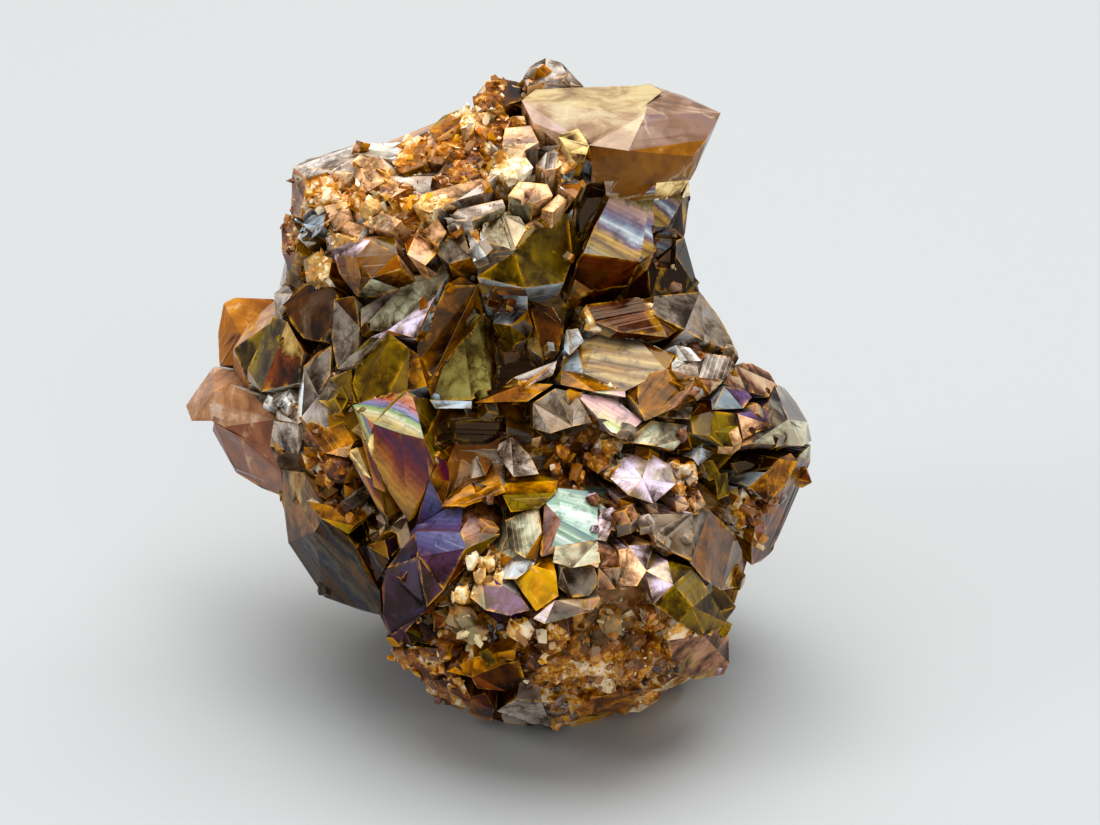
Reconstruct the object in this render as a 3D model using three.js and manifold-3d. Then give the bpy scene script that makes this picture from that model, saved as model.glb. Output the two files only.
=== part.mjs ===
// A natural cluster of iridescent andradite crystals, grown together as one piece.
//
// Each place on the front is given as [across, up, near]: millimetres to the right, upward and towards
// the eye, for someone who looks at the middle of the cluster from viewDistance, at viewElevation above
// level. The places are turned into upright coordinates once, when the body is finished.

import * as THREE from "three";
import { ConvexGeometry } from "three/addons/geometries/ConvexGeometry.js";
import { mergeVertices } from "three/addons/utils/BufferGeometryUtils.js";
import Module from "manifold-3d";

const viewElevation = 25; // degrees above level
const viewDistance = 200;
const viewMiddle = [1.8, -0.65]; // across and up, where the line of sight meets the cluster
const baseHeight = -10.3; // the level of the flat base, below the middle
const heart = [0.6, -0.6, -2.2]; // the place that the crystals grow out from
const backCrystalSize = 3.0; // mean radius of the crystals on the back and sides
const crystalSeed = 41;
const shortestEdge = 0.09;

const wasm = await Module();
wasm.setup();

let randomState = crystalSeed;
const random = () => {
  randomState = (randomState * 16807) % 2147483647;
  return randomState / 2147483647;
};
const between = (low, high) => low + (high - low) * random();

// Where a place seen at [across, up] really is when it lies near or far.
const placed = ([across, up, near]) => {
  const scale = (viewDistance - near) / viewDistance;
  return new THREE.Vector3(
    viewMiddle[0] + (across - viewMiddle[0]) * scale,
    viewMiddle[1] + (up - viewMiddle[1]) * scale,
    near,
  );
};

const solidFrom = (geometry) => {
  const bare = geometry.clone();
  bare.deleteAttribute("normal");
  bare.deleteAttribute("uv");
  const merged = mergeVertices(bare, 1e-4);
  return new wasm.Manifold(
    new wasm.Mesh({
      numProp: 3,
      vertProperties: new Float32Array(merged.getAttribute("position").array),
      triVerts: new Uint32Array(merged.getIndex().array),
    }),
  );
};

const heartPoint = new THREE.Vector3(...heart);
const crystals = [];

// A crystal that shows the given corners and narrows to a root inside the cluster.
const grow = (corners, rootDepth = 3, rootShare = 0.75) => {
  const points = corners.map(placed);
  const middle = new THREE.Vector3();
  for (const point of points) {
    middle.addScaledVector(point, 1 / points.length);
  }
  const inward = heartPoint.clone().sub(middle).normalize().multiplyScalar(rootDepth);
  const step = points.length > 7 ? 3 : 2;
  const roots = points
    .filter((point, index) => index % step === 0)
    .map((point) => point.clone().sub(middle).multiplyScalar(rootShare).add(middle).add(inward));
  crystals.push(solidFrom(new ConvexGeometry([...points, ...roots])));
};

// A grain or lump: the hull of a few points spread round a centre, and of a root that holds it.
const lump = (centre, radius, points = 7) => {
  const middle = placed(centre);
  const hull = [heartPoint.clone().sub(middle).normalize().multiplyScalar(radius + 2.2).add(middle)];
  for (let count = 0; count < points; count += 1) {
    const rise = 1 - (2 * (count + 0.5)) / points;
    const turn = count * 2.4 + between(-0.4, 0.4);
    const flat = Math.sqrt(1 - rise * rise);
    const reach = radius * between(0.75, 1.1);
    const direction = new THREE.Vector3(flat * Math.cos(turn), rise, flat * Math.sin(turn));
    hull.push(direction.multiplyScalar(reach).add(middle));
  }
  crystals.push(solidFrom(new ConvexGeometry(hull)));
};

// Grains strewn over a four-cornered patch of the surface.
const strew = (patch, count, smallest, largest) => {
  for (let index = 0; index < count; index += 1) {
    const s = (index + between(0.2, 0.8)) / count;
    const t = (index * 0.618 + between(0, 0.15)) % 1;
    const along = (key) => {
      const first = patch[0][key] * (1 - s) + patch[1][key] * s;
      const second = patch[3][key] * (1 - s) + patch[2][key] * s;
      return first * (1 - t) + second * t;
    };
    lump([along(0), along(1), along(2) - 0.2], between(smallest, largest));
  }
};

// A garnet crystal of its own form: a rhombic dodecahedron, or a trapezohedron with kite-shaped faces.
const garnetPoints = (centre, radius, manyFaced, turn) => {
  const edge = radius * (manyFaced ? 0.667 : 0);
  const corner = radius * 0.5;
  const hull = [];
  for (const sign of [-1, 1]) {
    hull.push([sign * radius, 0, 0], [0, sign * radius, 0], [0, 0, sign * radius]);
    for (const second of [-1, 1]) {
      if (manyFaced) {
        hull.push([sign * edge, second * edge, 0]);
        hull.push([sign * edge, 0, second * edge]);
        hull.push([0, sign * edge, second * edge]);
      }
      for (const third of [-1, 1]) {
        hull.push([sign * corner, second * corner, third * corner]);
      }
    }
  }
  return hull.map((point) => new THREE.Vector3(...point).applyEuler(turn).add(centre));
};

// The body that the crystals grow on, as level slices: [up, left, right, near, far].
const slices = [
  [11.0, -0.2, 2.0, -0.2, -2.4],
  [10.3, -0.9, 6.6, 1.0, -3.4],
  [9.0, -4.2, 6.7, 2.4, -4.6],
  [7.6, -6.6, 5.4, 3.3, -5.4],
  [6.0, -6.9, 5.6, 3.9, -6.0],
  [4.0, -6.9, 6.0, 3.6, -6.5],
  [2.0, -7.3, 7.2, 3.3, -6.8],
  [0.0, -7.6, 8.8, 3.7, -7.0],
  [-2.0, -7.3, 9.7, 4.3, -7.1],
  [-4.0, -6.8, 9.3, 5.4, -7.1],
  [-6.0, -6.0, 8.0, 6.6, -7.0],
  [-8.0, -3.6, 7.4, 6.8, -6.8],
  [-10.0, -2.4, 7.0, 4.6, -6.4],
  [-11.5, -1.0, 4.4, 1.6, -5.4],
  [-12.6, 0.0, 3.0, 0.0, -4.4],
];
const sliceCorners = 13;

const bodySolid = () => {
  const positions = [];
  const faces = [];
  for (const [up, left, right, near, far] of slices) {
    for (let corner = 0; corner < sliceCorners; corner += 1) {
      const angle = ((corner + (up % 2 ? 0.5 : 0)) / sliceCorners) * Math.PI * 2;
      const across = Math.sign(Math.cos(angle)) * Math.abs(Math.cos(angle)) ** 0.8;
      const depth = Math.sign(Math.sin(angle)) * Math.abs(Math.sin(angle)) ** 0.8;
      const swell = between(0.94, 1.0);
      const point = placed([
        (left + right) / 2 + ((right - left) / 2) * across * swell,
        up,
        (near + far) / 2 + ((near - far) / 2) * depth * swell,
      ]);
      positions.push(point.x, point.y, point.z);
    }
  }
  const ring = (slice, corner) => slice * sliceCorners + (corner % sliceCorners);
  for (let slice = 0; slice + 1 < slices.length; slice += 1) {
    for (let corner = 0; corner < sliceCorners; corner += 1) {
      const a = ring(slice, corner);
      const b = ring(slice, corner + 1);
      const c = ring(slice + 1, corner);
      const d = ring(slice + 1, corner + 1);
      faces.push(a, b, c, b, d, c);
    }
  }
  for (let corner = 1; corner + 1 < sliceCorners; corner += 1) {
    faces.push(ring(0, 0), ring(0, corner + 1), ring(0, corner));
    const last = slices.length - 1;
    faces.push(ring(last, 0), ring(last, corner), ring(last, corner + 1));
  }
  const geometry = new THREE.BufferGeometry();
  geometry.setAttribute("position", new THREE.Float32BufferAttribute(positions, 3));
  geometry.setIndex(faces);
  return solidFrom(geometry);
};

// Top right: the slab that juts forward over a dark recess.
grow([
  [0.8, 10.5, 1.6], [1.3, 10.9, 0.6], [2.6, 10.75, 0.4], [4.4, 10.9, 0.1], [5.4, 11.05, -0.3],
  [6.6, 10.65, -0.1], [7.9, 10.05, 1.2], [7.4, 9.1, 2.6], [6.9, 8.5, 3.3], [4.6, 8.7, 4.7],
  [3.2, 8.9, 4.5], [2.1, 8.9, 3.9], [1.2, 9.7, 2.8], [5.2, 10.0, 2.9], [3.3, 8.3, 4.4],
  [4.3, 7.75, 4.1], [5.6, 7.55, 3.6], [6.8, 7.65, 2.6], [7.0, 8.0, 2.6],
], 3.4, 0.7);
grow([[2.1, 9.2, 3.9], [2.8, 9.5, 3.9], [3.2, 8.9, 4.8], [3.1, 8.55, 4.9], [2.5, 8.65, 4.6]], 1.5);
grow([
  [4.1, 10.6, 1.2], [4.8, 11.0, 0.2], [5.4, 11.1, 0.0], [5.8, 10.8, 0.7], [4.9, 10.1, 2.6],
  [4.2, 10.2, 2.2],
], 1.5);
// The peak and the bumps beside it.
grow([
  [0.9, 11.2, 0.2], [1.3, 11.85, -0.6], [1.65, 12.0, -0.9], [2.2, 11.85, -0.9], [2.4, 11.4, -0.2],
  [1.6, 11.15, 0.6], [1.0, 11.0, 0.6], [3.0, 11.0, -0.4],
], 3);
grow([
  [-0.9, 10.6, 0.4], [-0.6, 11.0, -0.2], [-0.1, 11.3, -0.6], [0.7, 11.15, -0.6], [0.8, 10.5, 1.2],
  [0.1, 10.3, 1.9], [-0.8, 10.1, 1.4],
], 3);
grow([
  [-2.5, 9.5, 0.8], [-2.0, 9.95, 0.0], [-1.6, 10.05, -0.1], [-1.1, 10.3, -0.2], [-1.2, 9.8, 1.6],
  [-1.5, 9.4, 2.0], [-2.3, 9.1, 2.0],
], 3);
grow([[0.2, 9.5, 2.6], [1.1, 9.6, 2.6], [1.4, 9.0, 3.4], [0.9, 8.7, 3.6], [0.1, 8.9, 3.3]], 2);
grow([
  [1.3, 8.2, 3.9], [1.7, 8.65, 3.6], [2.1, 8.8, 3.6], [2.4, 8.3, 4.2], [2.0, 8.05, 4.5], [1.6, 8.0, 4.4],
], 2);
grow([[2.0, 8.0, 4.2], [2.1, 8.5, 4.0], [2.6, 8.45, 4.2], [2.7, 8.0, 4.5], [2.3, 7.85, 4.6]], 2);
grow([[2.1, 7.75, 4.1], [2.2, 7.95, 3.9], [3.0, 7.85, 3.9], [3.0, 7.55, 4.4], [2.2, 7.5, 4.5]], 2);
grow([[2.1, 7.5, 4.4], [2.7, 7.0, 4.9], [3.0, 7.55, 4.3]], 2);
grow([[1.5, 6.6, 5.0], [2.1, 7.15, 4.6], [2.4, 6.95, 4.7], [1.9, 6.5, 5.3]], 2);
// The orange and mustard matrix between the peak and the ridge.
grow([
  [-3.1, 6.7, 5.1], [-2.9, 7.1, 4.6], [-1.5, 7.5, 4.4], [-0.1, 7.85, 4.0], [-0.6, 7.2, 4.9],
  [-1.5, 6.95, 5.4], [-2.5, 6.5, 5.6],
], 2.5);
grow([[-4.3, 7.15, 4.2], [-3.4, 7.6, 3.8], [-3.1, 7.45, 4.1], [-3.9, 7.0, 4.7]], 2);
grow([[-2.4, 7.6, 4.0], [-1.9, 8.3, 3.3], [-1.0, 8.4, 3.2], [-0.7, 7.9, 3.9], [-1.4, 7.6, 4.3]], 2);
grow([[-2.6, 8.3, 2.9], [-2.3, 9.0, 2.0], [-1.5, 9.1, 2.0], [-1.3, 8.5, 2.9], [-2.0, 8.2, 3.2]], 2);
grow([[-0.3, 7.9, 3.9], [0.0, 8.5, 3.2], [0.9, 8.6, 3.2], [1.2, 8.1, 3.9], [0.6, 7.7, 4.4]], 2);
grow([[0.3, 7.1, 4.9], [0.7, 7.6, 4.4], [1.7, 7.5, 4.4], [1.9, 7.1, 4.8], [1.2, 6.8, 5.2]], 2);
grow([[-1.9, 6.2, 5.6], [-1.5, 6.6, 5.3], [0.1, 6.95, 4.9], [0.2, 6.7, 5.2], [-1.0, 6.2, 5.8]], 2);
strew([[-5.9, 6.3, 3.9], [-3.0, 6.2, 5.1], [-3.3, 7.3, 4.3], [-5.6, 7.2, 3.3]], 5, 0.3, 0.6);
strew([[-2.6, 7.4, 4.3], [0.8, 7.7, 4.2], [0.4, 9.0, 2.8], [-2.6, 8.9, 2.4]], 5, 0.28, 0.5);
strew([[-1.4, 9.3, 2.2], [1.0, 9.7, 2.4], [0.6, 10.2, 1.7], [-1.0, 10.0, 1.4]], 4, 0.28, 0.5);
// Upper left.
grow([
  [-7.35, 8.1, 0.2], [-6.95, 8.35, -0.6], [-5.0, 8.95, -0.6], [-5.1, 8.5, 1.0], [-5.2, 7.9, 2.0],
  [-6.0, 8.0, 1.7], [-6.9, 7.7, 1.3], [-7.4, 7.9, 0.3], [-7.0, 6.9, 1.3], [-7.1, 6.3, 1.1],
  [-7.45, 6.4, 0.1],
], 3, 0.6);
grow([
  [-6.7, 7.65, 1.5], [-6.2, 7.8, 1.7], [-5.9, 7.5, 2.3], [-5.7, 7.0, 2.8], [-6.2, 6.6, 2.8],
  [-6.7, 6.6, 2.0], [-6.8, 7.1, 1.8], [-6.3, 7.2, 2.8],
], 2);
grow([
  [-5.1, 8.45, 2.0], [-4.3, 8.5, 2.2], [-3.9, 8.1, 2.9], [-4.1, 7.6, 3.6], [-4.6, 7.3, 3.9],
  [-5.1, 7.1, 3.5], [-5.2, 7.8, 2.6], [-3.5, 7.9, 2.6],
], 2.5);
grow([
  [-4.9, 8.95, 0.0], [-4.0, 9.0, 0.0], [-3.2, 9.0, 0.4], [-3.0, 8.7, 1.4], [-3.2, 8.4, 2.2],
  [-4.0, 8.4, 2.3], [-5.2, 8.6, 1.2],
], 2.5);
grow([
  [-3.9, 8.3, 2.3], [-3.0, 8.5, 2.4], [-2.6, 9.1, 1.5], [-2.9, 9.25, 0.6], [-2.7, 8.2, 3.1],
  [-3.5, 7.9, 3.3],
], 2);
grow([
  [-7.05, 6.1, 2.3], [-6.7, 6.4, 2.1], [-6.2, 6.5, 2.6], [-6.3, 6.0, 3.3], [-6.6, 5.7, 3.3],
  [-7.05, 5.5, 2.6], [-6.8, 5.2, 2.0], [-6.3, 5.2, 2.6],
], 2);
grow([
  [-7.8, 6.0, -0.6], [-7.5, 6.4, -0.6], [-7.2, 5.8, 1.5], [-7.25, 5.1, 1.6], [-7.75, 5.0, -0.2],
  [-7.1, 4.8, 1.2], [-7.5, 4.35, 0.2],
], 3);
// The ridge crystals from upper left to the middle.
grow([
  [-4.6, 5.5, 5.0], [-4.2, 5.65, 4.8], [-3.8, 5.8, 4.7], [-3.65, 5.0, 5.7], [-3.5, 4.5, 5.8],
  [-4.6, 4.15, 5.8], [-5.1, 4.9, 5.3], [-5.7, 4.3, 4.3], [-5.9, 4.9, 4.0], [-5.0, 5.55, 4.4],
  [-4.95, 4.2, 5.5], [-5.1, 3.5, 4.5],
], 3);
grow([
  [-3.4, 5.5, 5.0], [-2.6, 5.55, 5.0], [-2.1, 5.2, 5.2], [-2.65, 4.6, 5.9], [-3.3, 5.0, 5.8],
  [-2.9, 6.0, 4.8],
], 2.5);
grow([[-2.9, 5.7, 5.2], [-2.2, 6.3, 5.2], [-1.9, 5.8, 5.5], [-2.2, 5.3, 5.6]], 2);
grow([[-6.1, 5.9, 3.6], [-5.4, 6.2, 4.0], [-4.8, 6.0, 4.6], [-5.1, 5.5, 4.7], [-5.9, 5.2, 4.0]], 2);
grow([[-4.9, 6.1, 4.6], [-4.2, 6.5, 4.5], [-3.5, 6.2, 5.0], [-3.9, 5.8, 5.2]], 2);
grow([[-7.0, 4.8, 2.4], [-6.5, 5.1, 2.8], [-6.0, 4.8, 3.6], [-6.1, 4.2, 3.8], [-6.9, 4.0, 2.6]], 2);
grow([[-2.0, 5.8, 5.2], [-1.3, 5.75, 5.3], [-1.0, 4.9, 5.9], [-1.8, 4.65, 5.8], [-2.2, 5.0, 5.5]], 2);
grow([[-1.2, 5.8, 5.3], [-0.8, 5.95, 5.3], [-0.65, 5.3, 5.9], [-0.6, 4.85, 6.1], [-0.95, 4.75, 6.1]], 2);
// The olive-brown face over the hollow, and the small facets on its upper edge.
grow([
  [-0.7, 5.0, 5.8], [0.6, 5.15, 5.7], [1.0, 6.0, 5.0], [1.7, 6.35, 4.6], [2.4, 7.0, 3.9], [2.55, 6.0, 3.9],
  [2.6, 4.9, 4.1], [2.3, 4.0, 4.4], [0.9, 3.8, 5.1], [-0.8, 4.2, 5.7],
], 3.2, 0.6);
grow([
  [-0.7, 5.8, 5.5], [0.1, 6.45, 5.0], [0.7, 6.35, 4.9], [1.0, 6.0, 5.1], [0.5, 5.15, 5.9],
  [-0.5, 5.5, 5.8], [-0.7, 5.0, 6.0],
], 2);
// The rainbow-banded face beneath the slab, with the dark striated face under it.
grow([
  [4.3, 7.75, 3.0], [5.5, 7.65, 2.5], [6.2, 7.5, 2.0], [6.55, 7.0, 2.0], [6.0, 6.1, 2.9], [5.5, 5.1, 3.9],
  [5.0, 4.75, 4.4], [3.0, 5.05, 5.0], [3.4, 6.0, 4.3], [3.9, 7.0, 3.5], [2.75, 4.7, 4.8],
  [5.2, 4.4, 3.8], [4.6, 3.9, 3.7], [3.9, 3.8, 3.9], [3.3, 3.7, 4.0], [2.7, 4.1, 4.4],
], 2.2, 0.7);
grow([
  [6.5, 7.0, 1.9], [6.75, 7.6, 0.9], [6.8, 7.1, 0.8], [6.65, 6.3, 0.8], [6.6, 5.6, 0.9], [6.1, 5.9, 2.0],
], 2.5);
grow([
  [6.0, 5.4, 2.4], [6.6, 5.6, 0.8], [6.65, 5.0, 0.9], [6.95, 4.2, 0.9], [7.15, 3.6, 1.1],
  [5.4, 3.5, 3.1], [5.3, 4.5, 3.1],
], 2.5);
// Right of the middle.
grow([
  [3.1, 3.2, 4.4], [5.0, 3.45, 3.7], [5.5, 3.0, 4.0], [6.4, 2.35, 4.0], [6.0, 2.05, 4.4],
  [5.4, 2.1, 4.6], [4.2, 2.25, 4.9], [3.4, 2.6, 4.9],
], 2.5);
grow([
  [5.0, 3.35, 3.7], [5.5, 3.5, 3.3], [7.15, 3.65, 1.8], [7.8, 2.8, 2.0], [8.1, 2.3, 2.2], [8.5, 1.45, 2.7],
  [7.3, 1.9, 4.0], [6.6, 2.3, 4.3], [5.6, 2.8, 4.2],
], 2.8);
strew([[5.9, 1.9, 4.3], [8.3, 1.4, 3.0], [8.3, 1.0, 3.2], [6.0, 1.5, 4.5]], 3, 0.22, 0.36);
grow([[6.3, 1.75, 4.5], [6.8, 1.65, 4.4], [7.4, 1.45, 4.2], [7.2, 1.2, 4.7], [6.7, 1.2, 4.9]], 2);
grow([
  [6.15, 1.1, 4.9], [6.3, 1.3, 4.6], [7.0, 1.2, 4.6], [7.4, 1.45, 4.0], [8.2, 1.35, 3.2], [8.45, 1.0, 3.2],
  [8.0, 0.5, 4.2], [7.1, 0.6, 5.1], [6.4, 0.55, 5.4], [6.15, 0.85, 5.3],
], 2.2);
grow([
  [4.55, 0.0, 5.5], [5.0, 0.7, 5.2], [6.0, 0.9, 5.1], [7.1, 0.65, 5.0], [8.0, 0.55, 4.1], [7.5, 0.0, 5.0],
  [6.5, -0.35, 5.7], [6.0, -0.6, 6.0], [5.2, -0.95, 6.3], [4.9, -0.4, 6.0],
], 2.6);
grow([
  [2.3, 1.3, 4.5], [2.9, 1.95, 4.2], [3.6, 2.25, 4.2], [5.0, 1.95, 4.3], [6.25, 1.4, 4.4], [6.0, 0.9, 5.0],
  [4.9, 0.6, 5.3], [4.5, 0.1, 5.7], [3.0, 0.75, 5.5], [2.2, 0.85, 5.0],
], 2.6);
grow([
  [2.0, 0.6, 5.0], [2.3, 0.9, 5.0], [4.5, 0.15, 5.7], [4.5, -0.1, 5.9], [3.4, 0.1, 5.9],
  [2.2, 0.35, 5.4],
], 2);
grow([
  [2.7, 0.05, 5.6], [3.4, -0.05, 5.7], [4.15, -0.2, 5.7], [5.1, -0.95, 6.0], [4.4, -0.9, 6.3],
  [4.5, -1.5, 6.8], [4.0, -1.35, 6.8], [3.3, -0.65, 6.2],
], 2.2);
grow([
  [5.0, -1.1, 6.0], [5.4, -0.95, 5.8], [6.7, -1.1, 5.1], [6.6, -1.6, 5.6], [6.2, -2.0, 6.0],
  [5.6, -1.85, 6.4], [4.5, -1.7, 6.8],
], 2);
grow([[5.9, -0.8, 5.8], [6.2, -0.5, 5.4], [6.9, -0.45, 4.9], [6.8, -0.9, 5.4]], 2);
// The lobe at the right.
grow([
  [8.0, 0.4, 3.9], [8.4, 1.05, 2.8], [9.0, 1.1, 1.6], [9.65, 0.75, 0.8], [9.85, 0.4, 1.0],
  [9.6, -0.1, 2.0], [8.9, 0.1, 3.0],
], 3);
grow([
  [7.55, -0.2, 4.5], [8.0, 0.3, 3.9], [8.8, 0.15, 3.1], [9.0, -0.1, 3.2], [8.7, -0.5, 4.0],
  [7.6, -0.55, 4.9],
], 2);
grow([
  [6.8, -0.8, 5.0], [7.2, -0.3, 4.5], [7.6, -0.6, 4.8], [8.5, -0.7, 4.2], [9.5, -0.5, 2.8],
  [9.7, -1.1, 3.2], [8.7, -1.6, 4.7], [8.0, -1.9, 5.4], [7.5, -1.5, 5.4], [6.9, -1.4, 5.4],
], 2.6);
grow([
  [9.8, 0.4, 0.4], [10.2, 0.2, -0.8], [10.6, -0.3, -1.0], [11.0, -1.0, -0.8], [11.15, -1.65, -0.4],
  [10.8, -1.85, 1.8], [10.3, -0.9, 1.9], [9.6, -0.3, 2.0], [9.0, -1.75, 4.5], [8.1, -2.0, 5.2],
], 3.4, 0.6);
grow([
  [10.4, -2.1, 1.9], [10.65, -2.4, 1.5], [10.2, -3.2, 1.9], [9.6, -3.9, 2.6], [8.9, -3.3, 3.6],
  [9.5, -2.8, 3.2], [10.0, -2.3, 2.6],
], 2.5);
grow([
  [11.1, -1.8, -0.2], [11.1, -2.4, -0.8], [10.95, -2.8, -1.0], [10.6, -3.6, -1.0], [10.0, -5.0, -0.9],
  [9.65, -5.7, -0.9], [9.35, -5.95, -0.4], [9.0, -6.1, 0.6], [9.0, -5.0, 2.4], [9.6, -3.9, 2.4],
  [10.2, -3.2, 1.7], [10.7, -2.2, 1.4],
], 4, 0.5);
grow([[6.9, -2.3, 5.5], [7.2, -1.9, 5.3], [7.65, -2.1, 5.1], [7.1, -2.55, 5.7]], 2);
grow([[7.2, -2.4, 5.2], [7.6, -2.35, 5.0], [7.9, -2.9, 5.0], [7.5, -3.1, 5.3]], 2);
grow([[7.7, -2.9, 4.7], [8.15, -2.8, 4.3], [8.2, -3.6, 4.4], [7.8, -3.75, 4.9]], 2);
strew([[8.2, -3.4, 3.9], [9.4, -3.6, 2.9], [9.2, -5.2, 2.6], [8.4, -5.0, 3.4]], 5, 0.3, 0.5);
// The dark hollow in the middle, its walls and floor.
grow([
  [-1.9, 3.9, 5.3], [-1.4, 4.2, 5.2], [-0.8, 3.9, 5.2], [-1.2, 3.2, 4.4], [-2.0, 2.0, 3.8],
  [-2.2, 0.9, 3.7], [-2.5, 0.4, 4.4], [-2.9, 1.2, 5.0], [-2.95, 1.7, 5.1], [-2.3, 2.6, 5.1],
], 3);
grow([
  [-1.4, 3.0, 3.7], [-0.9, 3.2, 3.5], [-0.3, 2.6, 3.4], [-0.2, 1.5, 3.6], [-0.1, 0.9, 3.8],
  [-0.3, 0.2, 4.3], [-1.0, -0.2, 4.6], [-2.4, -0.25, 4.7], [-2.6, 0.3, 4.5], [-2.2, 1.2, 4.1],
  [-1.9, 2.2, 3.9],
], 2.5);
grow([[-0.8, 3.95, 5.3], [0.9, 3.75, 5.1], [1.0, 3.5, 5.0], [-0.6, 3.6, 5.3]], 2);
grow([
  [-0.15, 2.9, 3.9], [0.3, 3.2, 3.7], [0.85, 3.5, 3.5], [1.0, 3.0, 4.2], [0.9, 2.65, 4.6], [0.4, 2.45, 4.8],
  [-0.25, 2.55, 4.4], [1.2, 2.4, 4.3], [1.0, 2.0, 4.2], [0.5, 1.75, 4.3], [0.0, 2.0, 4.2],
], 1.8);
grow([
  [1.0, 3.4, 4.1], [1.9, 3.1, 4.3], [2.3, 2.4, 4.6], [2.1, 1.5, 4.6], [1.6, 1.2, 4.4], [1.0, 1.7, 4.0],
], 2);
grow([[2.3, 1.6, 4.8], [2.4, 2.3, 4.5], [2.8, 2.35, 4.5], [3.0, 1.9, 4.8], [2.5, 1.4, 5.0]], 2);
grow([[3.0, 2.3, 4.5], [3.1, 2.7, 4.3], [3.5, 2.6, 4.5], [3.5, 2.2, 4.8]], 2);
grow([
  [0.1, 0.25, 4.7], [0.5, 0.6, 4.6], [1.4, 0.9, 4.6], [2.05, 1.2, 4.7], [1.9, 0.7, 5.1], [1.0, 0.3, 5.1],
], 2);
grow([[-0.9, -0.3, 4.8], [0.0, 0.15, 4.8], [0.9, 0.4, 5.0], [1.9, 0.35, 5.3], [1.0, -0.25, 5.5]], 1.6);
grow([[-2.5, -0.2, 4.9], [-1.0, -0.25, 4.9], [-1.0, -0.5, 5.1], [-2.3, -0.5, 5.2]], 1.6);
grow([
  [1.2, -0.3, 5.4], [2.0, 0.2, 5.5], [2.7, 0.05, 5.7], [3.3, -1.0, 6.3], [2.6, -1.15, 6.4],
  [1.8, -1.4, 6.1], [1.2, -1.2, 5.6],
], 2.4);
grow([
  [0.0, -1.7, 4.7], [0.4, -1.55, 4.7], [0.8, -1.9, 5.1], [1.1, -2.2, 5.5], [1.4, -2.85, 6.2],
  [0.5, -2.95, 6.3], [-0.1, -2.1, 5.2],
], 2);
grow([[-1.05, -2.4, 5.3], [-0.8, -2.2, 5.2], [-0.5, -2.9, 5.9], [-1.0, -3.0, 5.9]], 2);
strew([[1.0, -1.5, 5.8], [4.3, -1.7, 6.2], [4.1, -3.1, 6.5], [1.4, -3.0, 6.2]], 6, 0.26, 0.5);
grow([[-2.1, -4.0, 6.2], [-1.2, -3.3, 5.8], [0.0, -3.0, 5.8], [0.2, -3.5, 6.5], [-1.2, -4.0, 6.6]], 2.4);
grow([
  [0.2, -3.2, 6.0], [2.1, -3.1, 6.3], [2.0, -3.5, 6.9], [1.4, -4.1, 7.1], [0.4, -4.2, 6.8],
  [0.1, -3.6, 6.5],
], 2.4);
// Left of the middle.
grow([
  [-4.95, 3.05, 4.3], [-4.0, 3.65, 4.5], [-3.3, 4.05, 4.7], [-2.0, 4.95, 4.7], [-1.85, 4.3, 5.2],
  [-2.3, 3.5, 5.5], [-2.6, 2.9, 5.6], [-2.8, 2.3, 5.6], [-3.0, 2.0, 5.6], [-4.0, 2.25, 5.3],
  [-4.95, 2.3, 4.8],
], 2.6);
grow([
  [-5.15, 1.3, 4.7], [-4.6, 2.0, 4.9], [-3.9, 2.15, 5.3], [-3.2, 1.6, 5.5], [-2.9, 1.3, 5.3],
  [-2.6, 0.3, 4.9], [-3.3, 0.1, 5.3], [-4.0, -0.1, 5.3], [-5.0, -0.35, 5.1], [-5.25, 0.3, 4.8],
], 2.6);
grow([
  [-5.25, -0.4, 5.3], [-4.4, -0.15, 5.3], [-3.5, 0.15, 5.2], [-3.1, -0.1, 5.5], [-2.9, -0.7, 5.9],
  [-2.7, -1.6, 6.6], [-3.5, -1.4, 6.7], [-4.5, -1.05, 6.4], [-2.35, -2.5, 6.2], [-2.5, -3.0, 6.1],
  [-3.05, -4.4, 5.6], [-3.25, -4.55, 5.6], [-4.0, -3.4, 5.9], [-4.5, -2.3, 6.1], [-4.7, -1.8, 6.1],
], 2.8, 0.7);
grow([
  [-2.35, -2.2, 5.9], [-1.85, -2.4, 5.3], [-1.8, -3.1, 5.3], [-2.0, -4.05, 5.4], [-3.0, -4.75, 5.6],
  [-2.5, -3.0, 6.1],
], 2.5);
grow([
  [-7.75, 3.2, 1.2], [-7.3, 3.6, 1.3], [-6.9, 3.95, 1.8], [-6.0, 3.95, 3.0], [-5.75, 3.5, 3.5],
  [-5.9, 2.5, 3.8], [-6.3, 1.9, 3.5], [-7.0, 2.0, 2.6], [-7.4, 2.5, 1.9],
], 2.8);
grow([[-8.05, 3.6, -0.4], [-7.6, 3.95, -0.4], [-7.4, 3.6, 1.2], [-7.8, 2.8, 0.9], [-8.0, 3.0, 0.2]], 3);
grow([
  [-8.1, 2.8, 0.3], [-7.6, 2.6, 1.3], [-7.0, 1.5, 2.4], [-7.2, 0.4, 2.5], [-8.5, 0.1, 0.7],
  [-9.0, 0.5, -0.6], [-9.0, 0.9, -0.6], [-8.5, 1.4, -0.2],
], 3);
grow([
  [-7.0, 1.0, 3.0], [-6.5, 1.5, 3.1], [-6.0, 1.75, 3.7], [-6.05, 0.7, 4.3], [-6.5, 0.0, 4.1],
  [-7.0, 0.3, 3.2],
], 2.4);
grow([
  [-5.9, 3.4, 3.6], [-5.2, 3.5, 4.1], [-5.0, 2.4, 4.7], [-5.1, 1.4, 4.7], [-5.8, 0.9, 4.3],
  [-6.0, 2.0, 3.9],
], 2.4);
grow([
  [-5.8, 0.9, 4.5], [-5.3, 1.4, 4.8], [-4.6, 2.05, 5.0], [-4.0, 2.3, 5.3], [-4.3, 2.0, 5.4],
  [-5.3, 1.0, 5.0],
], 1.6);
grow([[-6.1, 0.6, 4.2], [-5.3, 0.9, 4.6], [-5.2, -0.3, 5.1], [-5.8, -0.7, 4.6], [-6.5, -0.2, 4.0]], 2.4);
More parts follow.
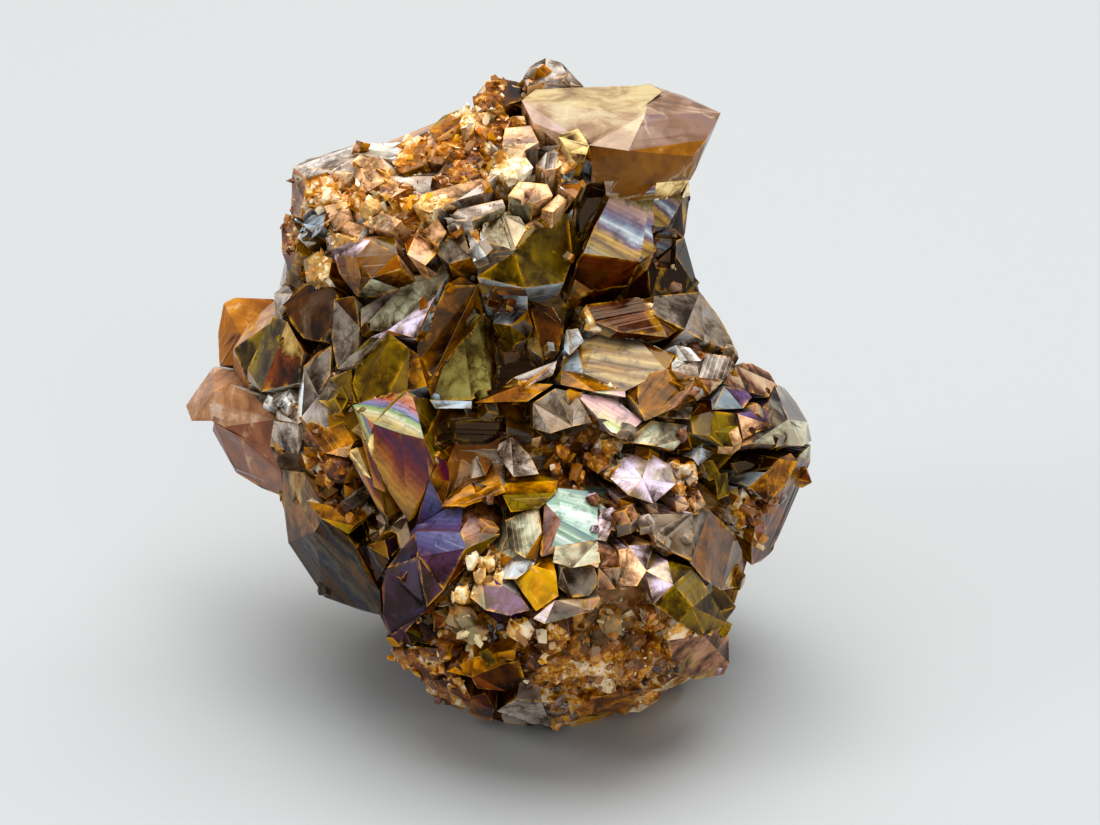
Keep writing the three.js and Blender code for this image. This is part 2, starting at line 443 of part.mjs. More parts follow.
grow([[-8.2, -0.1, 0.9], [-7.5, 0.15, 1.7], [-7.3, -0.3, 2.4], [-7.9, -0.45, 2.0]], 2.4);
grow([[-7.95, -0.6, 1.7], [-7.3, -0.35, 2.2], [-6.7, -0.8, 3.1], [-7.2, -1.05, 3.3], [-8.0, -0.9, 1.9]], 2);
grow([
  [-8.05, -0.95, 1.7], [-7.2, -1.05, 3.2], [-7.0, -1.6, 3.2], [-7.2, -2.15, 2.8], [-8.2, -1.85, 1.0],
], 2.4);
grow([
  [-6.95, -1.1, 3.6], [-6.2, -0.75, 3.9], [-5.6, -1.0, 4.5], [-5.2, -1.7, 5.1], [-5.5, -2.25, 5.1],
  [-6.2, -2.1, 4.7], [-6.8, -1.75, 4.0],
], 2.4);
grow([
  [-5.5, -2.0, 5.0], [-5.1, -1.9, 5.3], [-4.6, -3.0, 5.7], [-4.0, -4.4, 5.6], [-3.95, -4.8, 5.4],
  [-4.4, -4.0, 5.5], [-5.0, -2.8, 5.3],
], 2);
grow([[-5.0, -1.3, 5.3], [-4.7, -1.2, 5.7], [-4.5, -2.4, 6.0], [-4.1, -3.5, 5.9], [-4.5, -3.3, 5.7]], 2);
strew([[-6.9, -2.3, 3.4], [-5.4, -2.4, 4.7], [-4.6, -4.5, 4.9], [-6.4, -3.9, 3.3]], 6, 0.35, 0.6);
// The crystal at the lower left, with its blue-tinged lower face.
grow([
  [-7.75, -2.7, 0.9], [-7.0, -2.8, 2.3], [-6.6, -3.1, 2.9], [-6.2, -4.2, 3.8], [-5.1, -5.5, 4.3],
  [-4.8, -6.3, 4.0], [-4.3, -7.0, 3.6], [-4.2, -7.9, 2.4], [-5.0, -7.7, 1.2], [-6.25, -7.25, 0.0],
  [-6.6, -6.45, 0.0], [-7.1, -5.9, 0.0], [-7.55, -5.3, 0.0], [-7.5, -4.2, 0.6], [-7.75, -3.7, 0.2],
  [-6.6, -4.9, 3.0],
], 3.4, 0.6);
grow([[-6.9, -3.8, 3.0], [-6.0, -4.0, 3.9], [-5.2, -4.7, 4.7], [-5.4, -5.0, 4.6], [-6.4, -4.4, 3.8]], 2);
grow([[-4.75, -5.4, 4.5], [-4.1, -5.2, 5.1], [-3.95, -5.9, 5.4], [-4.4, -6.7, 4.7]], 2.4);
// Far back at the left, four paler crystals.
grow([
  [-9.85, 3.25, -5.2], [-9.45, 3.45, -5.2], [-8.1, 3.4, -4.4], [-7.6, 2.9, -3.4], [-8.3, 1.6, -2.8],
  [-8.9, 1.1, -3.2], [-10.0, 1.0, -4.4], [-10.05, 2.2, -4.9], [-9.3, 2.2, -3.6],
], 4, 0.7);
grow([
  [-10.2, 1.0, -4.6], [-9.0, 0.7, -3.3], [-9.3, 0.0, -2.6], [-10.2, -0.95, -3.4], [-11.0, -0.95, -4.4],
  [-11.2, -0.4, -5.0], [-10.7, 0.35, -5.2], [-10.2, 0.1, -3.2],
], 4.4, 0.7);
grow([
  [-10.4, -0.2, -3.6], [-9.6, 0.35, -2.8], [-8.8, 0.0, -1.4], [-8.0, -0.9, 0.2], [-8.2, -1.9, 0.0],
  [-9.0, -1.6, -1.2], [-9.8, -1.15, -2.4], [-10.3, -0.95, -3.2],
], 3.4);
grow([
  [-10.2, -1.0, -3.2], [-9.5, -1.4, -2.0], [-8.2, -1.85, -0.2], [-7.8, -2.8, 0.0], [-7.7, -3.65, -0.8],
  [-8.5, -3.35, -2.2], [-9.4, -2.8, -3.4], [-9.75, -2.2, -3.8], [-10.25, -1.3, -3.9],
], 4);
// The violet crystal.
grow([
  [-3.0, -4.9, 6.1], [-2.4, -4.55, 5.9], [-1.7, -4.1, 5.8], [-1.3, -4.0, 5.8], [-0.9, -4.1, 6.0],
  [-0.45, -4.4, 6.2], [0.0, -5.0, 6.7], [-1.4, -4.9, 7.0], [-1.2, -5.5, 7.5], [-2.9, -5.8, 7.0],
  [-2.0, -7.0, 7.5], [-2.6, -7.6, 7.0], [-4.0, -6.2, 5.6], [-4.2, -6.9, 4.8], [-4.15, -7.9, 4.4],
  [-3.85, -8.6, 4.2], [-3.8, -9.2, 3.4],
], 3.4, 0.7);
strew([[-1.1, -5.9, 7.4], [0.1, -5.6, 7.0], [0.2, -6.9, 7.5], [-1.1, -6.8, 7.6]], 4, 0.26, 0.42);
grow([
  [-1.05, -7.25, 7.7], [-0.9, -6.95, 7.5], [-0.6, -6.75, 7.4], [0.1, -6.85, 7.6], [0.8, -7.3, 8.0],
  [1.1, -7.7, 8.2], [0.3, -7.9, 8.4], [-0.5, -7.7, 8.2],
], 2);
lump([-1.3, -7.2, 7.4], 0.42);
lump([-1.5, -8.0, 7.0], 0.5);
lump([-0.9, -8.5, 7.0], 0.52);
lump([-2.2, -8.0, 6.6], 0.45);
// The lobe nearest the eye.
grow([
  [2.1, -3.35, 6.6], [3.1, -3.45, 6.6], [3.5, -3.8, 6.8], [3.5, -5.2, 8.4], [2.2, -4.5, 8.0],
  [2.05, -3.9, 7.2], [1.85, -5.45, 8.2], [1.6, -3.85, 6.9], [1.5, -5.8, 8.1],
], 2.6, 0.8);
grow([[3.45, -4.2, 7.2], [3.8, -4.05, 7.0], [4.0, -4.8, 7.8], [3.8, -5.25, 8.3], [3.5, -5.2, 8.3]], 2);
grow([[3.8, -4.1, 7.0], [4.4, -4.05, 6.9], [4.75, -4.5, 7.2], [4.65, -4.95, 7.7], [3.95, -4.85, 7.9]], 2);
grow([[4.5, -4.2, 7.0], [5.0, -4.25, 6.9], [5.6, -5.0, 7.4], [4.9, -4.9, 7.7]], 2);
grow([
  [0.2, -4.5, 6.6], [0.8, -4.25, 6.8], [1.4, -4.05, 7.0], [1.5, -4.9, 7.6], [1.3, -5.9, 8.0],
  [0.9, -5.85, 7.8], [0.35, -5.5, 7.3],
], 2.4);
grow([[0.1, -6.6, 7.5], [0.5, -6.0, 7.3], [1.1, -5.9, 7.8], [1.2, -6.15, 8.1], [0.6, -6.6, 8.0]], 2);
grow([[2.0, -5.4, 8.2], [3.5, -5.25, 8.4], [3.6, -6.0, 8.8], [2.6, -6.2, 8.8], [1.9, -6.0, 8.5]], 2);
grow([
  [2.2, -6.2, 8.6], [2.8, -5.95, 8.6], [3.4, -6.2, 8.7], [3.55, -6.7, 8.8], [3.2, -7.2, 8.9],
  [2.6, -7.25, 8.9], [2.1, -6.9, 8.7],
], 2);
grow([
  [3.5, -5.3, 8.3], [4.15, -5.6, 8.1], [4.35, -6.2, 8.3], [4.15, -6.95, 8.6], [3.5, -7.0, 8.9],
  [3.55, -6.2, 8.9],
], 2);
grow([[0.5, -6.6, 7.8], [1.2, -6.1, 8.1], [2.0, -6.35, 8.6], [2.1, -7.2, 8.8], [1.3, -7.75, 8.5]], 2.4);
grow([[4.25, -5.55, 8.0], [4.6, -5.5, 7.9], [4.65, -6.9, 8.5], [4.3, -6.95, 8.6]], 2);
grow([[4.6, -5.4, 7.8], [5.5, -5.35, 7.4], [5.25, -6.3, 8.1], [4.9, -6.85, 8.5], [4.4, -6.85, 8.6]], 2);
grow([
  [5.2, -6.3, 8.0], [6.0, -5.95, 7.4], [6.9, -6.2, 6.7], [7.5, -7.1, 6.1], [8.15, -8.2, 4.4],
  [7.3, -8.65, 5.6], [6.4, -8.15, 7.2], [5.5, -7.5, 8.2], [6.2, -6.8, 8.1], [6.9, -7.6, 7.2],
], 3);
grow([
  [6.9, -4.15, 5.8], [7.5, -4.15, 5.1], [8.4, -5.0, 3.4], [8.65, -5.6, 2.6], [8.7, -6.2, 2.2],
  [8.5, -6.9, 2.6], [7.9, -7.0, 5.0], [7.3, -6.6, 6.3], [6.8, -6.0, 7.0],
], 3);
grow([[5.2, -4.3, 7.0], [6.9, -4.25, 6.0], [6.85, -5.95, 7.1], [5.6, -5.4, 7.7], [5.5, -4.9, 7.4]], 2.6);
grow([[6.7, -3.8, 5.8], [7.1, -3.4, 5.3], [7.4, -4.0, 5.3], [6.9, -4.3, 6.0]], 2.4);
grow([
  [6.4, -8.1, 7.1], [7.3, -8.6, 5.6], [8.15, -8.2, 4.3], [8.2, -9.6, 2.4], [8.0, -10.0, 2.0],
  [7.0, -10.2, 3.0], [6.2, -9.9, 4.8], [6.0, -8.8, 6.8],
], 3.4);
grow([
  [3.95, -3.0, 6.8], [4.5, -2.25, 6.2], [5.4, -2.1, 6.0], [6.1, -2.55, 6.0], [6.3, -3.2, 6.5],
  [5.5, -3.9, 7.2], [4.6, -3.6, 7.3], [5.1, -3.0, 7.1],
], 2.4);
strew([[6.1, -2.5, 5.9], [7.2, -2.6, 5.4], [7.3, -3.8, 5.6], [6.0, -3.9, 6.5]], 4, 0.25, 0.42);
strew([[4.2, -3.9, 7.2], [6.8, -3.9, 6.3], [6.8, -4.3, 6.4], [4.2, -4.1, 7.2]], 3, 0.22, 0.36);
grow([[1.2, -8.0, 8.6], [2.0, -7.35, 8.7], [3.6, -7.3, 8.9], [3.3, -7.75, 9.0], [1.6, -8.2, 8.8]], 2.4);
strew([[0.6, -8.3, 8.2], [5.9, -7.7, 8.0], [5.9, -8.9, 7.0], [0.8, -9.3, 7.2]], 8, 0.35, 0.65);
strew([[0.9, -9.3, 7.2], [6.0, -9.0, 6.8], [5.6, -10.3, 4.8], [1.2, -10.5, 5.2]], 6, 0.4, 0.7);
// The lower edge down to the surface that it rests on.
grow([
  [-0.1, -11.3, 3.2], [0.6, -10.85, 4.6], [1.5, -11.0, 4.6], [3.4, -11.1, 3.6], [3.3, -11.4, 2.2],
  [1.9, -12.0, 1.5], [0.9, -11.7, 2.0],
], 3.4);
grow([
  [3.2, -10.9, 4.0], [4.6, -10.6, 4.2], [5.8, -10.5, 3.0], [5.7, -10.9, 1.2], [5.0, -11.35, 0.6],
  [3.6, -11.35, 1.8],
], 3.4);
grow([[-1.1, -10.8, 3.6], [-0.5, -10.7, 4.2], [-0.2, -11.3, 3.2], [-0.3, -11.7, 1.4], [-1.1, -11.4, 1.4]], 3);
grow([
  [-2.2, -10.2, 3.8], [-1.4, -10.1, 4.8], [-1.0, -10.9, 3.8], [-1.3, -11.3, 1.6], [-2.2, -10.85, 1.4],
  [-2.6, -10.4, 1.6],
], 3);
grow([[-1.9, -9.9, 5.2], [-0.9, -9.4, 6.2], [0.6, -9.1, 7.1], [0.5, -9.5, 7.0], [-1.0, -10.1, 5.8]], 2.4);
grow([[-1.1, -9.9, 5.4], [0.7, -9.5, 6.6], [0.9, -10.2, 5.8], [0.2, -10.6, 5.0], [-0.8, -10.5, 4.6]], 2.4);
grow([
  [-3.8, -9.4, 2.6], [-3.1, -9.0, 4.4], [-2.2, -9.1, 5.6], [-1.9, -9.9, 4.9], [-2.6, -10.3, 3.0],
  [-3.3, -9.8, 2.2],
], 3);
strew([[-3.4, -8.6, 5.0], [-1.0, -8.9, 6.5], [-1.4, -9.9, 5.2], [-3.2, -9.5, 4.0]], 4, 0.3, 0.55);

// The pits: each one is taken out of the body and crystals as a narrowing hollow.
const pits = [];
const pit = (rim, floorDepth, floorShare = 0.55) => {
  const points = rim.map(placed);
  const middle = new THREE.Vector3();
  for (const point of points) {
    middle.addScaledVector(point, 1 / points.length);
  }
  const floor = points.map((point) => {
    const inner = point.clone().sub(middle).multiplyScalar(floorShare).add(middle);
    inner.z = middle.z - floorDepth;
    return inner;
  });
  const above = points.map((point) => point.clone().setZ(middle.z + 1.2));
  pits.push(solidFrom(new ConvexGeometry([...above, ...points, ...floor])));
};
pit([
  [3.1, 7.6, 4.2], [4.1, 7.6, 3.8], [3.8, 7.1, 3.6], [3.3, 6.1, 4.2], [2.9, 5.3, 4.6], [2.6, 5.4, 4.4],
  [2.6, 6.6, 4.2],
], 2.6);
pit([
  [-2.2, -0.7, 4.9], [-0.9, -0.55, 5.0], [0.7, -0.6, 5.2], [0.6, -1.5, 5.0], [-0.4, -2.0, 5.0],
  [-1.6, -2.0, 5.2], [-2.3, -1.8, 5.4],
], 2.2);
pit([[-0.2, 1.7, 4.4], [0.4, 1.6, 4.5], [1.1, 1.6, 4.4], [0.9, 1.1, 4.6], [0.0, 0.9, 4.4]], 1.6);
pit([[-4.9, -4.7, 5.2], [-4.2, -4.8, 5.6], [-4.2, -5.2, 5.4], [-4.8, -5.3, 5.0]], 1.4);
pit([[-2.9, -7.7, 6.8], [-2.3, -7.8, 7.0], [-2.3, -8.6, 6.4], [-2.9, -8.6, 6.2]], 1.6);
pit([[5.4, 6.0, 2.6], [6.4, 5.9, 1.8], [6.3, 4.4, 2.6], [5.5, 4.5, 3.2]], 1.6);
pit([[7.8, -2.2, 4.6], [9.9, -2.1, 3.4], [9.3, -2.7, 3.2], [8.3, -3.1, 4.0]], 1.4);

// Swellings of the body under the crystals: [middle, half sizes].
const swellings = [
  [[2.6, -6.8, 3.0], [5.0, 4.0, 4.7]],
  [[-1.8, -6.8, 3.0], [2.3, 2.6, 3.6]],
  [[-2.6, 5.6, 1.6], [4.0, 2.6, 3.2]],
  [[4.2, -0.8, 2.0], [3.8, 2.4, 3.4]],
  [[-4.6, -0.8, 1.6], [2.8, 3.6, 3.3]],
  [[-0.6, 8.6, 0.4], [2.2, 1.6, 2.0]],
];
let body = bodySolid();
for (const [middle, halfSizes] of swellings) {
  const swelling = new THREE.IcosahedronGeometry(1, 1).scale(...halfSizes);
  body = body.add(solidFrom(swelling.translate(...placed(middle).toArray())));
}

// The outline that the front shows: [across, up], clockwise from the upper left.
const outline = [
  [-7.35, 8.1], [-5.0, 8.95], [-2.9, 9.2], [-1.6, 10.05], [-0.4, 11.1], [0.7, 11.2], [1.65, 12.0],
  [2.4, 11.4], [3.4, 10.7], [5.4, 11.05], [7.9, 10.05], [6.8, 7.6], [6.6, 5.6], [7.1, 3.7], [8.5, 1.4],
  [9.7, 0.7], [11.1, -1.2], [11.1, -2.4], [9.65, -5.7], [8.65, -6.3], [8.2, -9.6], [5.8, -10.6],
  [5.0, -11.35], [1.9, -12.0], [-1.3, -11.3], [-3.8, -9.5], [-4.2, -7.9], [-6.25, -7.2], [-7.5, -5.5],
  [-7.8, -3.7], [-9.6, -2.6], [-11.0, -1.0], [-10.2, 0.8], [-9.9, 3.3], [-8.0, 3.5], [-7.8, 5.0],
];
const isInside = (across, up) => {
  let crossings = 0;
  outline.forEach(([fromAcross, fromUp], index) => {
    const [toAcross, toUp] = outline[(index + 1) % outline.length];
    const spans = fromUp > up !== toUp > up;
    if (spans && across < fromAcross + ((toAcross - fromAcross) * (up - fromUp)) / (toUp - fromUp)) {
      crossings += 1;
    }
  });
  return crossings % 2 === 1;
};
const isHidden = (point) => {
  const scale = (viewDistance - point.z) / viewDistance;
  return isInside(
    viewMiddle[0] + (point.x - viewMiddle[0]) / scale,
    viewMiddle[1] + (point.y - viewMiddle[1]) / scale,
  );
};

// The back, sides, top and underside: garnet crystals of many sizes, sunk in the body, each drawn inward
// until it lies within the outline.
const sides = [];
const growBehind = (centre, radius) => {
  const spin = new THREE.Euler(between(0, 3), between(0, 3), between(0, 3));
  let points = garnetPoints(centre, radius, random() < 0.2, spin);
  const middle = new THREE.Vector3(heart[0], heart[1], centre.z);
  for (let tries = 0; tries < 40 && !points.every(isHidden); tries += 1) {
    const shift = middle.clone().sub(centre).normalize().multiplyScalar(0.15);
    centre.add(shift);
    points = points.map((point) => point.clone().add(shift));
  }
  sides.push(solidFrom(new ConvexGeometry(points)));
};
const crystalCount = 62;
for (let index = 0; index < crystalCount; index += 1) {
  const up = 10.4 - (22.6 * (index + 0.5)) / crystalCount;
  const upper = slices.findIndex((slice) => slice[0] <= up);
  const above = slices[Math.max(upper - 1, 0)];
  const below = slices[Math.max(upper, 1)];
  const share = (above[0] - up) / (above[0] - below[0]);
  const [, left, right, near, far] = above.map((value, key) => value * (1 - share) + below[key] * share);
  const across = Math.cos(index * 2.39996);
  const depth = Math.sin(index * 2.39996);
  const radius = backCrystalSize * between(0.55, 1.2);
  if (depth < 0.15) {
    growBehind(placed([
      (left + right) / 2 + ((right - left) / 2) * across,
      up,
      (near + far) / 2 + ((near - far) / 2) * depth * 0.9 - 0.2,
    ]), radius);
  }
}
growBehind(placed([-4.4, 7.6, -2.2]), 1.6);
growBehind(placed([-1.2, 8.6, -2.6]), 1.5);
growBehind(placed([0.9, 9.4, -3.0]), 1.3);
growBehind(placed([3.4, 9.5, -2.4]), 1.7);
growBehind(placed([5.6, 9.4, -2.0]), 1.4);
growBehind(placed([2.0, 8.2, -4.0]), 1.7);
growBehind(placed([-2.6, 7.2, -4.2]), 1.7);
growBehind(placed([5.0, 7.2, -3.8]), 1.8);
growBehind(placed([-6.0, 6.4, -3.4]), 1.6);

let solid = body;
for (const part of [...crystals, ...sides]) {
  solid = solid.add(part);
}
for (const hollow of pits) {
  solid = solid.subtract(hollow);
}

// Stand it upright, and cut the flat that it rests on.
const lean = THREE.MathUtils.degToRad(viewElevation);
const upright = new THREE.Matrix4().set(
  1, 0, 0, 0,
  0, Math.sin(lean), -Math.cos(lean), 0,
  0, Math.cos(lean), Math.sin(lean), 0,
  0, 0, 0, 1,
);
const geometryFrom = (manifold) => {
  const mesh = manifold.getMesh();
  const geometry = new THREE.BufferGeometry();
  geometry.setAttribute("position", new THREE.Float32BufferAttribute(mesh.vertProperties, 3));
  geometry.setIndex([...mesh.triVerts]);
  return geometry;
};

// Corners that lie closer together than shortestEdge are drawn into one, where the surface stays whole.
const withoutShortEdges = (geometry) => {
  const source = geometry.getAttribute("position");
  const places = [];
  for (let index = 0; index < source.count; index += 1) {
    places.push(new THREE.Vector3().fromBufferAttribute(source, index));
  }
  const sourceFaces = geometry.getIndex().array;
  const faces = [];
  const facesAt = places.map(() => new Set());
  for (let index = 0; index < sourceFaces.length; index += 3) {
    const face = [sourceFaces[index], sourceFaces[index + 1], sourceFaces[index + 2]];
    for (const corner of face) {
      facesAt[corner].add(faces.length);
    }
    faces.push(face);
  }
  const areaVector = (face) => {
    const [a, b, c] = face.map((corner) => places[corner]);
    return b.clone().sub(a).cross(c.clone().sub(a)).multiplyScalar(0.5);
  };
  const neighbours = (corner) => {
    const found = new Set();
    for (const face of facesAt[corner]) {
      for (const other of faces[face]) {
        found.add(other);
      }
    }
    found.delete(corner);
    return found;
  };
  const collapse = (kept, dropped) => {
    const keptNeighbours = neighbours(kept);
    const shared = [...neighbours(dropped)].filter((corner) => keptNeighbours.has(corner));
    if (shared.length !== 2) {
      return false;
    }
    for (const index of facesAt[dropped]) {
      const face = faces[index];
      if (!face.includes(kept)) {
        const before = areaVector(face);
        const after = areaVector(face.map((corner) => (corner === dropped ? kept : corner)));
        const turned = before.dot(after) / (before.length() * after.length() + 1e-12);
        if (after.length() < 2e-4 || turned < (before.length() < 0.01 ? 0.2 : 0.95)) {
          return false;
        }
      }
    }
    for (const index of [...facesAt[dropped]]) {
      if (faces[index].includes(kept)) {
        for (const corner of faces[index]) {
          facesAt[corner].delete(index);
        }
        faces[index] = null;
      } else {
        faces[index] = faces[index].map((corner) => (corner === dropped ? kept : corner));
        facesAt[kept].add(index);
      }
    }
    facesAt[dropped].clear();
    return true;
  };
  for (let pass = 0; pass < 4; pass += 1) {
    for (let index = 0; index < faces.length; index += 1) {
      for (let side = 0; side < 3 && faces[index]; side += 1) {
        const from = faces[index][side];
        const to = faces[index][(side + 1) % 3];
        if (places[from].distanceTo(places[to]) < shortestEdge && !collapse(from, to)) {
          collapse(to, from);
        }
      }
    }
  }
  const tidy = new THREE.BufferGeometry();
  tidy.setAttribute("position", source.clone());
  tidy.setIndex(faces.filter((face) => face).flat());
  return mergeVertices(tidy.toNonIndexed(), 1e-5);
};
const standing = solidFrom(withoutShortEdges(geometryFrom(solid).applyMatrix4(upright)));
const ground = new THREE.BoxGeometry(60, 60, 20).translate(0, 0, baseHeight - 10);
const cluster = geometryFrom(standing.subtract(solidFrom(ground)));
cluster.computeBoundingBox();
const box = cluster.boundingBox;
cluster.translate(-(box.min.x + box.max.x) / 2, -(box.min.y + box.max.y) / 2, -box.min.z);
cluster.computeVertexNormals();

const garnetMaterial = new THREE.MeshStandardMaterial({ color: 0x6b4a26, roughness: 0.25, metalness: 0 });
const clusterMesh = new THREE.Mesh(cluster, garnetMaterial);
clusterMesh.name = "garnet_cluster";

const group = new THREE.Group();
group.add(clusterMesh);

export default group;
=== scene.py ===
import math
import random

import bmesh
import bpy
from mathutils import Matrix, Vector, noise
from mathutils.bvhtree import BVHTree


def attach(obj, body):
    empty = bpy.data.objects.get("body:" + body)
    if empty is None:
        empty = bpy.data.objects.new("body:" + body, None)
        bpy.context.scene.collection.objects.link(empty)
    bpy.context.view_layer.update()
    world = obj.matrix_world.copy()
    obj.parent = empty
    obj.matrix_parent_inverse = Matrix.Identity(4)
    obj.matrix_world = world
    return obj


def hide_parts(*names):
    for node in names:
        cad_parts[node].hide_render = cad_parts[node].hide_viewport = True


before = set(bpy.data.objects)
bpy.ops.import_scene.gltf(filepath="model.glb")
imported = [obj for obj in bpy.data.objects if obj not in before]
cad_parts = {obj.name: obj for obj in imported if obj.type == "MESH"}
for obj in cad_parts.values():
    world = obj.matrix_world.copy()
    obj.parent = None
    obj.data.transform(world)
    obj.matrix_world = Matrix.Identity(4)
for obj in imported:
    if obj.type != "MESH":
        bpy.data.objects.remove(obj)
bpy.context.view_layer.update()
print("frame loaded")

mm = 0.001

# The side that shows best: the eye stands this far off and this high above level. The middle of the view
# lies right of and below the heart, which is given in the frame, all in millimetres.
view = {
    "elevation": 25.0,
    "distance": 200.0,
    "frameWidth": 39.29,
    "middle": (1.8, -0.65),
    "heart": (0.178, 0.239, 10.3),
}
lean = math.radians(view["elevation"])
acrossAxis = Vector((1, 0, 0))
upAxis = Vector((0, math.sin(lean), math.cos(lean)))
nearAxis = Vector((0, -math.cos(lean), math.sin(lean)))


# Millimetres right, up and near, of a point as the eye sees it.
def seenPlace(point):
    fromHeart = point / mm - Vector(view["heart"])
    near = fromHeart.dot(nearAxis)
    scale = view["distance"] / (view["distance"] - near)
    across = view["middle"][0] + (fromHeart.dot(acrossAxis) - view["middle"][0]) * scale
    up = view["middle"][1] + (fromHeart.dot(upAxis) - view["middle"][1]) * scale
    return across, up, near


# A hex colour as light mixes it.
def linear(colour, alpha=1.0):
    channels = [int(colour[i:i + 2], 16) / 255 for i in (1, 3, 5)]
    return tuple(c / 12.92 if c <= 0.04045 else ((c + 0.055) / 1.055) ** 2.4 for c in channels) + (alpha,)


# One node, with its settings, its sockets' values and the sockets that feed it.
def addNode(tree, kind, settings=None, values=None, links=None):
    node = tree.nodes.new(kind)
    for name, value in (settings or {}).items():
        setattr(node, name, value)
    for name, value in (values or {}).items():
        node.inputs[name].default_value = value
    for name, socket in (links or {}).items():
        tree.links.new(socket, node.inputs[name])
    return node


def startMaterial(name):
    material = bpy.data.materials.new(name)
    material.use_nodes = True
    material.node_tree.nodes.clear()
    return material, material.node_tree, addNode(material.node_tree, "ShaderNodeOutputMaterial")


def setRamp(node, stops):
    ramp = node.color_ramp
    while len(ramp.elements) < len(stops):
        ramp.elements.new(0.5)
    for element, (place, colour) in zip(ramp.elements, stops):
        element.position = place
        element.color = linear(colour)


# How many times a pattern of this many millimetres fits in a metre.
def perMetre(millimetres):
    return 1000.0 / millimetres


# The same for a pattern on a facet's own plane, which is laid out in millimetres.
def perMillimetre(millimetres):
    return 1.0 / millimetres


# The scale of a wave texture whose lines stand this many millimetres apart on that plane.
def waveScale(millimetres):
    return math.pi / 10 / millimetres


# Tints of the garnet and what grows on it: colour, finish and how strongly its growth lines show.
tones = {
    "silver": ("#8c8783", "glassy", 1.0),
    "smoke": ("#5f5a55", "glassy", 0.7),
    "steel": ("#7f8e9a", "glassy", 0.8),
    # The pale frost tint is partly painted sheen: pale blue-white where faces catch the light.
    "frostAndSheen": ("#aab4ba", "glassy", 0.6),
    "sage": ("#85897a", "glassy", 0.6),
    "mauve": ("#74584a", "glassy", 0.6),
    "lilac": ("#a49cac", "glassy", 0.5),
    "umber": ("#5c3912", "glassy", 0.7),
    "russet": ("#5a2e1a", "glassy", 0.7),
    "darkBrown": ("#331c0d", "glassy", 0.6),
    "nearBlack": ("#130805", "glassy", 0.3),
    "maroon": ("#3d1f17", "glassy", 0.8),
    "olive": ("#54461b", "glassy", 0.5),
    "deepOlive": ("#5a4714", "glassy", 0.3),
    "mossGrey": ("#76724a", "glassy", 0.4),
    "goldBrown": ("#875a16", "glassy", 0.6),
    "tan": ("#94683a", "glassy", 0.6),
    "peach": ("#b0937c", "glassy", 0.4),
    "cream": ("#bfae86", "glassy", 0.4),
    "violet": ("#4a3a58", "glassy", 0.5),
    "deepViolet": ("#2c1b2a", "glassy", 0.3),
    "honey": ("#e0902a", "clear", 0.5),
    "amber": ("#b07414", "clear", 0.2),
    "paleClear": ("#d2b8a0", "clear", 0.3),
    "mauveClear": ("#a98a74", "clear", 0.4),
    "strawClear": ("#ecdcb0", "clear", 0.4),
    "roseClear": ("#e6ac7c", "clear", 0.4),
    "rustClear": ("#a4521f", "clear", 0.4),
    "ochreCrust": ("#8f5a1a", "crust", 0.0),
    "orangeCrust": ("#c4803c", "crust", 0.0),
    "creamCrust": ("#e0cda0", "crust", 0.0),
    "rustCrust": ("#5f3012", "crust", 0.0),
}

